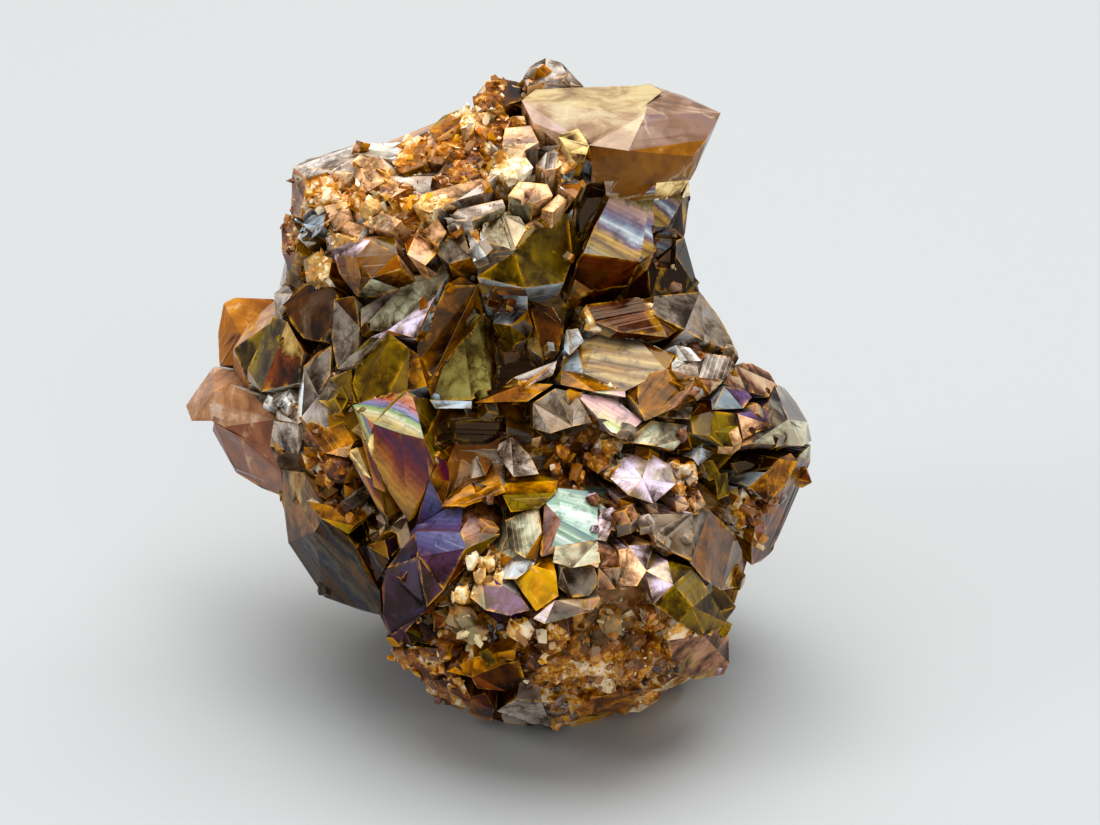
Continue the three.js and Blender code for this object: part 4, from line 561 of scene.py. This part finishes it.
# Small crystals grown on the larger ones: they lie half sunk in them, and neighbours share one direction.
overgrowth = {
    "seed": 23,
    "density": 0.6,  # a square mm
    "sizes": (0.3, 1.05),  # mm
    "highSizes": (0.22, 0.68),  # mm
    "highDensity": 3.2,  # a square mm, on the crumbly high left
    "highPlace": (1.5, 5.5),  # mm right and up: the crumbly part lies left of and above this
    "highStretch": (1.5, 1.0, 0.36),  # the crystals there are leafy
    "sunk": 0.72,  # share of the radius that lies under the face
    "cornerReach": 0.58,  # radii, from the middle to where a corner's own coordinates are 1
    "smallness": 1.8,  # above 1, small ones outnumber large ones
    "shownShare": 0.12,  # of the density, on the side that shows
    "hiddenShare": 0.8,  # of the density elsewhere, on average
    "patchiness": 2.2,  # how much that share comes and goes
    "patchSize": 3.2,  # mm
    "farthest": -6.5,  # mm nearer than the heart: what lies behind doesn't count as shown
    "clearReach": 1.3,  # mm, kept free around a clear crystal
    "foot": 1.0,  # mm above the ground, kept free
}
# The corners of a garnet crystal with twelve faces.
twelveFaced = [Vector((x, y, z)) for x in (-1, 1) for y in (-1, 1) for z in (-1, 1)]
tips = ((2, 0, 0), (-2, 0, 0), (0, 2, 0), (0, -2, 0), (0, 0, 2), (0, 0, -2))
twelveFaced += [Vector(tip) for tip in tips]


# Painted shade in hollows: how far off a wall still counts, and how much of each channel the shade takes.
hollows = {
    "reach": 2.6,  # mm, how far off a wall still closes a place in
    "loss": (0.72, 0.82, 0.9),  # share of red, green and blue that a fully closed place loses
}
# Directions that reach for a wall, spread unevenly so that they don't line up with the crystals.
feelerAngles = ((0.3, 0.2), (1.2, 0.9), (2.1, -0.3), (2.9, 0.5), (3.8, -0.8), (4.6, 0.1), (5.5, 0.7),
                (1.6, -0.6), (3.3, 1.2))
feelers = [Vector((math.cos(turn) * math.cos(rise), math.sin(turn) * math.cos(rise), math.sin(rise)))
           for turn, rise in feelerAngles]


# The CAD solid, whose triangles come loose, joined at their corners.
def joinedSolid():
    work = bmesh.new()
    work.from_mesh(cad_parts["garnet_cluster"].data)
    bmesh.ops.remove_doubles(work, verts=work.verts, dist=0.5e-6)
    return work


# A place anywhere in a triangle.
def spotIn(corners, chance):
    first, second = sorted((chance.random(), chance.random()))
    return corners[0] * first + corners[1] * (second - first) + corners[2] * (1 - second)


# Chance that all places in one cell, this many millimetres wide, share.
def chanceOfCell(place, width, weights):
    cell = noise.voronoi(place / mm / width)[1][0]
    return random.Random(round(cell.x * weights[0] + cell.y * weights[1] + cell.z * weights[2], 3))


def addOvergrowth(work):
    chance = random.Random(overgrowth["seed"])
    seats = []
    for face in work.faces:
        centre = face.calc_center_median()
        across, up, near = seenPlace(centre)
        facing = face.normal.dot(nearAxis)
        isShown = facing > 0.1 and near > overgrowth["farthest"]
        isLow = centre.z < overgrowth["foot"] * mm
        patch = noise.noise(centre / mm / overgrowth["patchSize"] + Vector((5, 17, 2)))
        hiddenShare = max(0.0, overgrowth["hiddenShare"] + patch * overgrowth["patchiness"])
        density = overgrowth["density"] * (overgrowth["shownShare"] if isShown else hiddenShare)
        rightmost, lowest = overgrowth["highPlace"]
        isHigh = isShown and up > lowest and across < rightmost and facing > 0.3
        if isHigh:
            density = overgrowth["highDensity"]
        gap, tone = nearestTone(across, up)
        if isLow or tones[tone][1] == "clear" and (isShown or gap < overgrowth["clearReach"]):
            continue
        triangle = [vert.co.copy() for vert in face.verts[:3]]
        for _ in range(int(density * face.calc_area() / mm / mm + chance.random())):
            seats.append((spotIn(triangle, chance), face.normal.copy(), isHigh))
    for spot, normal, isHigh in seats:
        low, high = overgrowth["highSizes" if isHigh else "sizes"]
        radius = (low + (high - low) * chance.random() ** overgrowth["smallness"]) / 2 * mm
        turn = chanceOfCell(spot, 2.6, (41, 17, 91))
        axis = Vector((turn.uniform(-1, 1), turn.uniform(-1, 1), turn.uniform(-1, 1))).normalized()
        spin = Matrix.Rotation(turn.uniform(0, 6.28) + chance.uniform(-0.12, 0.12), 3, axis)
        centre = spot - normal * radius * overgrowth["sunk"]
        stretch = Vector((chance.uniform(0.8, 1.2), chance.uniform(0.8, 1.2), chance.uniform(0.8, 1.2)))
        if isHigh:
            stretch = Vector(a * b for a, b in zip(stretch, overgrowth["highStretch"]))
        corners = []
        for corner in twelveFaced:
            reached = Vector(a * b for a, b in zip(corner, stretch)) * radius * overgrowth["cornerReach"]
            corners.append(work.verts.new(centre + spin @ reached))
        bmesh.ops.convex_hull(work, input=corners)
    print("small crystals:", len(seats))


# Hollows swallow light: this finds how closed in a place is, from 0 in the open to 1.
def howEnclosed(tree, spot, normal):
    start = spot + normal * 0.03 * mm
    blocked = 0
    for feeler in feelers:
        direction = feeler if feeler.dot(normal) > 0 else -feeler
        direction = (direction + normal * 0.35).normalized()
        if tree.ray_cast(start, direction, hollows["reach"] * mm)[0] is not None:
            blocked += 1
    return blocked / len(feelers)


# Painted shade: a colour as it looks in a hollow, darker and redder, by how closed in its place is.
def paintHollowShade(colour, enclosed):
    loss = [1 - share * enclosed for share in hollows["loss"]]
    return tuple(channel * kept for channel, kept in zip(colour, loss)) + (1.0,)


def nearestTone(across, up):
    best = None
    for tone, places in tonePlaces.items():
        for a, u in places:
            gap = math.hypot(across - a, up - u)
            if best is None or gap < best[0]:
                best = (gap, tone)
    return best


# Tints that mix among the small crystals: high on the left, low in front, and elsewhere.
mixedTones = {
    "high": ["silver", "frostAndSheen", "peach", "goldBrown", "orangeCrust", "orangeCrust", "russet", "tan", "honey",
             "honey"],
    "front": ["mauve", "lilac", "sage", "tan", "silver", "goldBrown", "peach", "smoke"],
    "elsewhere": ["umber", "darkBrown", "goldBrown", "olive", "smoke", "russet", "mauve"],
}


# Glassy faces that turn down are etched: dull, so that they don't mirror the floor.
def finishFor(tone, face):
    finish = tones[tone][1]
    return "etched" if finish == "glassy" and face.normal.z < 0.1 else finish


# The tint and finish of a crystal face, and the slope and spacing of its growth lines where they are set.
def dressFace(face, chance):
    centre = face.calc_center_median_weighted()
    across, up, near = seenPlace(centre)
    facing = face.normal.dot(nearAxis)
    isOutside = up > cluster["alwaysAbove"] or across < cluster["alwaysLeftOf"]
    if facing > cluster["leastFacing"] and (near > cluster["farthest"] or isOutside):
        for name, (place, reach, slope, spacing, _) in rainbowFaces.items():
            isBig = face.calc_area() > cluster["rainbowArea"] * mm * mm
            if isBig and math.hypot(across - place[0], up - place[1]) < reach:
                return "smoke", name, slope, spacing
        gap, tone = nearestTone(across, up)
        if gap < cluster["placeReach"]:
            pick = chanceOfCell(centre, 0.9, (37, 71, 19))
            isSmall = face.calc_area() < cluster["mixedArea"] * mm * mm and tones[tone][1] != "crust"
            if isSmall and pick.random() < cluster["mixedShare"]:
                region = "elsewhere"
                if up > 4.5 and across < 2.8:
                    region = "high"
                elif up < -3.5 and across > 0.3:
                    region = "front"
                tone = pick.choice(mixedTones[region])
            return tone, finishFor(tone, face), None, None
    tone = chanceOfCell(centre, 3.0, (57, 131, 17)).choice(hiddenTones)
    if chance.random() < cluster["strayShare"]:
        tone = chance.choice(hiddenTones)
    return tone, finishFor(tone, face), None, None


# Cuts each of the faces where it crosses one growth line.
def cutFaces(faces, crosswise, cut):
    tiny = 1e-7
    parts = []
    for face in faces:
        sides = [vert.co.dot(crosswise) - cut for vert in face.verts]
        if min(sides) < -tiny and max(sides) > tiny:
            for edge in list(face.edges):
                start, end = edge.verts
                before, after = start.co.dot(crosswise) - cut, end.co.dot(crosswise) - cut
                if before * after < 0 and min(abs(before), abs(after)) > tiny:
                    bmesh.utils.edge_split(edge, start, before / (before - after))
            onLine = [vert for vert in face.verts if abs(vert.co.dot(crosswise) - cut) <= tiny]
            if len(onLine) == 2:
                try:
                    parts.append(bmesh.utils.face_split(face, onLine[0], onLine[1])[0])
                except ValueError:
                    pass
        parts.append(face)
    return parts


# Blender's own operators leave edges and faces in an order that changes from run to run. This puts them in
# the order of their corners, so that each run cuts and paints the same.
def putInOrder(work):
    for elements in (work.edges, work.faces):
        work.verts.index_update()
        ordered = sorted(elements, key=lambda element: sorted(vert.index for vert in element.verts))
        rank = {element: float(place) for place, element in enumerate(ordered)}
        elements.sort(key=lambda element: rank[element])
        elements.index_update()


# What each crystal face is like, in the order of the faces' numbers.
def listFacets(work, facetOf, chance):
    facets = []
    for index, face in enumerate(work.faces):
        tone, finish, slope, spacing = dressFace(face, chance)
        face[facetOf] = index
        longest = max(face.edges, key=lambda edge: edge.calc_length())
        facets.append({
            "tone": tone, "finish": finish, "slope": slope, "spacing": spacing,
            "centre": face.calc_center_median_weighted(), "normal": face.normal.copy(),
            "area": face.calc_area() / mm / mm,
            "along": (longest.verts[1].co - longest.verts[0].co).normalized(),
        })
        face.material_index = finishNames.index(finish)
    print("crystal faces:", len(facets))
    return facets


# Worn rims on the sharp edges between good-sized faces.
def wearEdges(work, facetOf, facets):
    rims = []
    for edge in work.edges:
        if len(edge.link_faces) == 2 and edge.calc_length() > cluster["wornLength"] * mm and edge.is_convex:
            first, second = (facets[face[facetOf]] for face in edge.link_faces)
            isRaised = edge.calc_face_angle() > math.radians(cluster["wornAngle"])
            isLow = min(vert.co.z for vert in edge.verts) < cluster["foot"] * mm
            if isRaised and min(first["area"], second["area"]) > cluster["wornArea"] and not isLow:
                rims.append(edge)
    bmesh.ops.bevel(work, geom=rims, offset=cluster["edgeWidth"] * mm / 2, segments=1, profile=0.5,
                    affect="EDGES", clamp_overlap=True, material=finishNames.index("edge"))
    print("worn rims:", len(rims))


# A narrow band along each face's outline, for the painted glow of the light that its edges let through.
def addEdgeBands(work):
    edgeGlowOf = work.loops.layers.float.new("rim")
    isSharp = {}
    bands = {}
    for face in work.faces:
        if face.material_index != finishNames.index("edge"):
            faceWidth = 2 * face.calc_area() / max(face.calc_perimeter(), 1e-9) / mm
            fitting = [width for least, width in cluster["bands"] if faceWidth > least]
            if fitting:
                bands.setdefault(fitting[-1], []).append(face)
    for edge in work.edges:
        isSharp[edge] = edge.is_manifold and edge.calc_face_angle() > math.radians(cluster["sharpAngle"])
    for width, faces in bands.items():
        outlines = [(face, list(face.verts)) for face in faces]
        made = bmesh.ops.inset_individual(work, faces=faces, thickness=width * mm, use_even_offset=True)
        for face, outline in outlines:
            for vert, corner in zip(face.verts, outline):
                away = vert.co - corner.co
                if away.length > cluster["bandReach"] * width * mm:
                    vert.co = corner.co + away.normalized() * cluster["bandReach"] * width * mm
        for face in made["faces"]:
            for loop in face.loops:
                if isSharp.get(loop.edge):
                    loop[edgeGlowOf] = 1.0
                    loop.link_loop_next[edgeGlowOf] = 1.0
    putInOrder(work)


# Crusts are crumbly: their faces are divided and knocked in and out.
def crumbleCrusts(work):
    crust = finishNames.index("crust")
    longEdges = [edge for edge in work.edges if edge.calc_length() > cluster["crumbEdge"] * mm
                 and any(face.material_index == crust for face in edge.link_faces)]
    bmesh.ops.subdivide_edges(work, edges=longEdges, cuts=2, use_grid_fill=True)
    crustFaces = [face for face in work.faces if face.material_index == crust]
    bmesh.ops.triangulate(work, faces=crustFaces)
    putInOrder(work)
    crustFaces = [face for face in work.faces if face.material_index == crust]
    for vert in dict.fromkeys(vert for face in crustFaces for vert in face.verts):
        isInner = all(face.material_index == crust for face in vert.link_faces)
        if isInner and vert.co.z > cluster["crustFoot"] * mm:
            lift = sum(noise.noise(vert.co / mm / size) * height for size, height in cluster["crumbs"])
            vert.co += vert.normal * lift * mm


# Where the growth lines cross a face, and how far the stone rises at each.
def placeLines(facet, low, high, strength, chance):
    isBroad = facet["area"] > cluster["broadArea"] and facet["tone"] != "silver"
    spacing = facet["spacing"] or chance.choice(cluster["broadSpacings" if isBroad else "fineSpacings"])
    height = cluster["stepHeight"] * strength * chance.uniform(0.5, 1.1) * (0.5 if isBroad else 1.0) * mm
    lines = []
    at = low + spacing * mm * chance.uniform(0.2, 0.9)
    while at < high - 0.03 * mm and len(lines) < cluster["mostLines"]:
        width = spacing * mm * chance.uniform(0.6, 1.5)
        lines.append((at, 0.0))
        lines.append((at + width * 0.82, height))
        at += width
    return lines


# Growth steps: each good face is cut along its lines, and raised a little between them.
def cutGrowthSteps(work, facetOf, facets, chance):
    byFacet = {}
    for face in work.faces:
        if face.material_index != finishNames.index("edge"):
            byFacet.setdefault(face[facetOf], []).append(face)
    lifts = {}
    for index, faces in byFacet.items():
        facet = facets[index]
        normal = facet["normal"]
        along = facet["along"]
        if facet["slope"] is not None:
            slope = math.radians(facet["slope"])
            along = acrossAxis * math.cos(slope) + upAxis * math.sin(slope)
        along = (along - normal * along.dot(normal)).normalized()
        crosswise = normal.cross(along).normalized()
        if crosswise.dot(upAxis) < 0:
            crosswise = -crosswise
        facet["along"], facet["crosswise"] = along, crosswise
        strength = tones[facet["tone"]][2] if facet["slope"] is None else cluster["rainbowStrength"]
        isPlain = facet["finish"] == "crust" or strength < cluster["weakestStepped"]
        if facet["area"] < cluster["smallestStepped"] or isPlain:
            continue
        if facet["centre"].z < cluster["crustFoot"] * mm:
            continue
        places = [vert.co.dot(crosswise) for face in faces for vert in face.verts]
        lines = placeLines(facet, min(places), max(places), strength, chance)
        for cut, _ in lines:
            faces = cutFaces(faces, crosswise, cut)
        for vert in dict.fromkeys(vert for face in faces for vert in face.verts):
            spot = vert.co.dot(crosswise)
            for (start, startLift), (end, endLift) in zip(lines, lines[1:]):
                if start - 1e-8 <= spot <= end + 1e-8:
                    lift = startLift + (endLift - startLift) * (spot - start) / max(end - start, 1e-9)
                    if vert.co.z > cluster["foot"] * mm:
                        lifts.setdefault(vert, []).append(normal * lift)
                    break
    for vert, moves in lifts.items():
        vert.co += sum(moves, Vector()) / len(moves)
    print("growth steps cut")


# Lays each face's tint and painted glow, both with painted shade in hollows, and its two planes, one in
# millimetres and one from 0 to 1 across the lines.
def paintFaces(work, facetOf, facets, chance):
    toneWithShadeOf = work.loops.layers.float_color.new("tone")
    glowOf = work.loops.layers.float_color.new("glow")
    planeOf = work.loops.layers.uv.new("facetPlane")
    spreadOf = work.loops.layers.uv.new("facetSpread")
    reach = {}
    for face in work.faces:
        facet = facets[face[facetOf]]
        if "crosswise" in facet:
            for vert in face.verts:
                spot = vert.co.dot(facet["crosswise"])
                low, high = reach.get(face[facetOf], (spot, spot))
                reach[face[facetOf]] = (min(low, spot), max(high, spot))
    for facet in facets:
        facet["shift"] = (chance.uniform(0, 90), chance.uniform(0, 90))
        facet["glow"] = linear(chance.choice(ownGlows.get(facet["tone"], glows)))
    walls = BVHTree.FromBMesh(work)
    enclosed = {vert: howEnclosed(walls, vert.co, vert.normal) for vert in work.verts}
    print("hollows felt")
    for face in work.faces:
        facet = facets[face[facetOf]]
        colour = linear(tones[facet["tone"]][0])
        low, high = reach.get(face[facetOf], (0, 1))
        # Tint and glow both get painted shade where the place is closed in.
        for loop in face.loops:
            loop[toneWithShadeOf] = paintHollowShade(colour, enclosed[loop.vert])
            loop[glowOf] = paintHollowShade(facet["glow"], enclosed[loop.vert])
            if "crosswise" in facet:
                spot = loop.vert.co.dot(facet["crosswise"])
                side = loop.vert.co.dot(facet["along"])
                loop[planeOf].uv = (spot / mm + facet["shift"][0], side / mm + facet["shift"][1])
                loop[spreadOf].uv = ((spot - low) / max(high - low, 1e-6), side / mm)


def buildCluster():
    work = joinedSolid()
    addOvergrowth(work)
    bmesh.ops.dissolve_limit(work, angle_limit=math.radians(cluster["flatAngle"]), verts=work.verts,
                             edges=work.edges)
    chance = random.Random(cluster["seed"])
    facetOf = work.faces.layers.int.new("facet")
    facets = listFacets(work, facetOf, chance)
    wearEdges(work, facetOf, facets)
    addEdgeBands(work)
    crumbleCrusts(work)
    cutGrowthSteps(work, facetOf, facets, chance)
    for vert in work.verts:
        vert.co.z = max(vert.co.z, 0.0)
    bmesh.ops.triangulate(work, faces=work.faces)
    paintFaces(work, facetOf, facets, chance)
    mesh = bpy.data.meshes.new("garnetCrystals")
    work.to_mesh(mesh)
    work.free()
    for name in finishNames:
        mesh.materials.append(finishes[name])
    mesh.shade_flat()
    piece = bpy.data.objects.new("garnetCrystals", mesh)
    bpy.context.scene.collection.objects.link(piece)
    print("crystals:", len(mesh.polygons), "triangles")
    return piece


# Where loose grains sit: in the hollows between crystals, and all over the crusts.
grains = {
    "seed": 5,
    "hollowAngle": 24,  # degrees: an inward fold sharper than this holds grains
    "hollowSpacing": 0.17,  # mm
    "hollowSizes": (0.07, 0.26),  # mm
    "crustDensity": 8.0,  # grains a square mm
    "crustSizes": (0.12, 0.5),  # mm
    "fill": 0.42,  # how much of the hollows' length holds grains
    "crustReach": 1.3,  # mm, how far a crust's place reaches
    "tintReach": 1.2,  # mm, how far its tint reaches
    "tintShare": 0.45,  # share of the grains there that take it
    "patchSize": 1.6,  # mm, of stretches of one tint
    "farthest": -6,  # mm nearer than the heart: what lies behind has no place of its own
    "farthestBare": -4,  # mm nearer than the heart: before this, only crusts have grains on their faces
    "foot": 0.35,  # mm above the ground, kept free
}

# From cream to dark brown.
grainTones = ["#f0e0c0", "#e0bc90", "#d9a650", "#c98a3c", "#b87a28", "#a9824c", "#8f5a1a", "#6b3c12",
              "#3a1e0c"]


def isOnClear(spot):
    across, up, near = seenPlace(spot)
    return near > grains["farthest"] and tones[nearestTone(across, up)[1]][1] == "clear"


def grainPlaces():
    work = joinedSolid()
    walls = BVHTree.FromBMesh(work)
    chance = random.Random(grains["seed"])
    spots = []

    def tint(spot):
        across, up, near = seenPlace(spot)
        gap, tone = nearestTone(across, up)
        isCrust = gap < grains["tintReach"] and near > grains["farthest"] and tones[tone][1] == "crust"
        if isCrust and chance.random() < grains["tintShare"]:
            return tones[tone][0]
        patch = noise.noise(spot / mm / grains["patchSize"]) - 0.2 * (up > overgrowth["highPlace"][1])
        return grainTones[min(8, max(0, int(5.0 + patch * 8 + chance.uniform(-2.2, 2.2))))]

    for edge in work.edges:
        if not edge.is_manifold or edge.is_convex:
            continue
        if edge.calc_face_angle() < math.radians(grains["hollowAngle"]):
            continue
        start, end = (vert.co for vert in edge.verts)
        outward = (edge.link_faces[0].normal + edge.link_faces[1].normal).normalized()
        count = edge.calc_length() / (grains["hollowSpacing"] * mm)
        for _ in range(int(count + chance.random())):
            spot = start.lerp(end, chance.random())
            if noise.noise(spot / mm / 0.9) > 0.5 - grains["fill"]:
                size = chance.uniform(*grains["hollowSizes"]) * chance.uniform(0.6, 1.0)
                spots.append((spot + outward * size * 0.12 * mm, size, tint(spot), outward))
    for face in work.faces:
        centre = face.calc_center_median()
        across, up, near = seenPlace(centre)
        gap, tone = nearestTone(across, up)
        isNear = gap < grains["crustReach"] and near > grains["farthest"]
        isCrust = isNear and tones[tone][1] == "crust" and face.normal.dot(nearAxis) > 0
        patch = noise.noise(centre / mm / 2.4 + Vector((31, 7, 3)))
        density = grains["crustDensity"] * (1.0 if isCrust else 0.5 if patch > 0.3 else 0.0)
        if near > grains["farthestBare"] and not isCrust:
            density = 0.0
        corners = [vert.co for vert in face.verts]
        for _ in range(int(density * face.calc_area() / mm / mm + chance.random())):
            spot = spotIn(corners, chance)
            low, high = grains["crustSizes"]
            size = low + (high - low) * chance.random() ** 2.2
            spots.append((spot, size, tint(spot), face.normal.copy()))
    work.free()
    mesh = bpy.data.meshes.new("grainPlaces")
    spots = [spot for spot in spots if spot[0].z > grains["foot"] * mm and not isOnClear(spot[0])]
    mesh.from_pydata([spot[0] for spot in spots], [], [])
    mesh.attributes.new("size", "FLOAT", "POINT").data.foreach_set("value", [spot[1] for spot in spots])
    # Painted shade: grains in hollows are darkened and reddened.
    colours = []
    for spot, _, colour, outward in spots:
        colours += paintHollowShade(linear(colour), howEnclosed(walls, spot + outward * 0.1 * mm, outward))
    mesh.attributes.new("tone", "FLOAT_COLOR", "POINT").data.foreach_set("color", colours)
    print("grains:", len(spots))
    return mesh


def buildGrains():
    tree, given, made = startTree("looseGrains", {"Grain Size": "NodeSocketFloat", "Seed": "NodeSocketInt"})
    lump = addNode(tree, "GeometryNodeMeshIcoSphere", None, {"Radius": 0.5, "Subdivisions": 1})
    bent = addNode(tree, "ShaderNodeTexNoise", None, {"Scale": 1.7, "Detail": 1.0})
    knocked = addNode(tree, "ShaderNodeVectorMath", {"operation": "SUBTRACT"}, {1: (0.5, 0.5, 0.5)},
                      {0: bent.outputs["Color"]})
    uneven = addNode(tree, "GeometryNodeSetPosition", None, None,
                     {"Geometry": lump.outputs["Mesh"], "Offset": knocked.outputs["Vector"]})
    turn = addNode(tree, "FunctionNodeRandomValue", {"data_type": "FLOAT_VECTOR"},
                   {"Max": (6.28, 6.28, 6.28)}, {"Seed": given.outputs["Seed"]})
    stretch = addNode(tree, "FunctionNodeRandomValue", {"data_type": "FLOAT_VECTOR"},
                      {"Min": (0.5, 0.5, 0.3), "Max": (1.7, 1.4, 1.0)}, {"Seed": given.outputs["Seed"]})
    size = addNode(tree, "GeometryNodeInputNamedAttribute", {"data_type": "FLOAT"}, {"Name": "size"})
    sized = addNode(tree, "ShaderNodeMath", {"operation": "MULTIPLY"}, None,
                    {0: size.outputs["Attribute"], 1: given.outputs["Grain Size"]})
    scaled = addNode(tree, "ShaderNodeVectorMath", {"operation": "SCALE"}, None,
                     {0: stretch.outputs["Value"], "Scale": sized.outputs["Value"]})
    rotation = addNode(tree, "FunctionNodeEulerToRotation", None, None, {"Euler": turn.outputs["Value"]})
    strewn = addNode(tree, "GeometryNodeInstanceOnPoints", None, None,
                     {"Points": given.outputs["Geometry"], "Instance": uneven.outputs["Geometry"],
                      "Rotation": rotation.outputs["Rotation"], "Scale": scaled.outputs["Vector"]})
    realised = addNode(tree, "GeometryNodeRealizeInstances", None, None,
                       {"Geometry": strewn.outputs["Instances"]})
    coated = addNode(tree, "GeometryNodeSetMaterial", None, {"Material": finishes["grain"]},
                     {"Geometry": realised.outputs["Geometry"]})
    tree.links.new(coated.outputs["Geometry"], made.inputs["Geometry"])
    return runTree("looseGrains", grainPlaces(), tree, {"Grain Size": mm, "Seed": grains["seed"]})


crystals = buildCluster()
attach(crystals, "root")
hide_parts("garnet_cluster")


looseGrains = buildGrains()
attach(looseGrains, "root")
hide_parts("garnet_cluster")


# A pale, softly lit floor, and the lights.
def buildStage():
    bpy.ops.mesh.primitive_plane_add(size=1.2)
    floor = bpy.context.object
    floor.name = "paleFloor"
    paper = bpy.data.materials.new("palePaper")
    paper.use_nodes = True
    shader = paper.node_tree.nodes["Principled BSDF"]
    shader.inputs["Base Color"].default_value = linear("#b9bbbb")
    shader.inputs["Roughness"].default_value = 0.6
    floor.data.materials.append(paper)
    world = bpy.context.scene.world or bpy.data.worlds.new("softRoom")
    bpy.context.scene.world = world
    world.use_nodes = True
    background = world.node_tree.nodes["Background"]
    background.inputs["Color"].default_value = linear("#dfe4e8")
    background.inputs["Strength"].default_value = 0.36

    def addLight(name, size, power, place, aim):
        data = bpy.data.lights.new(name, "AREA")
        data.shape = "SQUARE"
        data.size = size
        data.energy = power
        lamp = bpy.data.objects.new(name, data)
        lamp.location = place
        lamp.rotation_euler = (Vector(aim) - Vector(place)).to_track_quat("-Z", "Y").to_euler()
        bpy.context.scene.collection.objects.link(lamp)

    addLight("overheadSoftbox", 0.34, 1.56, (0.02, 0.07, 0.3), (0, 0, 0.01))
    addLight("leftSoftbox", 0.06, 0.1, (-0.2, -0.06, 0.16), (0, 0, 0.01))
    addLight("frontFill", 0.25, 0.2, (0.1, -0.26, 0.12), (0, 0, 0.005))


buildStage()


def placeCamera():
    data = bpy.data.cameras.new("photographView")
    data.sensor_width = 36
    data.lens = 36 * view["distance"] / view["frameWidth"]
    data.clip_start = 0.005
    data.clip_end = 5
    camera = bpy.data.objects.new("photographView", data)
    middle = Vector(view["heart"]) + acrossAxis * view["middle"][0] + upAxis * view["middle"][1]
    camera.location = (middle + nearAxis * view["distance"]) * mm
    camera.rotation_euler = (math.pi / 2 - lean, 0, 0)
    bpy.context.scene.collection.objects.link(camera)
    bpy.context.scene.camera = camera


placeCamera()
bpy.context.scene.view_settings.view_transform = "Standard"
print("stage set")
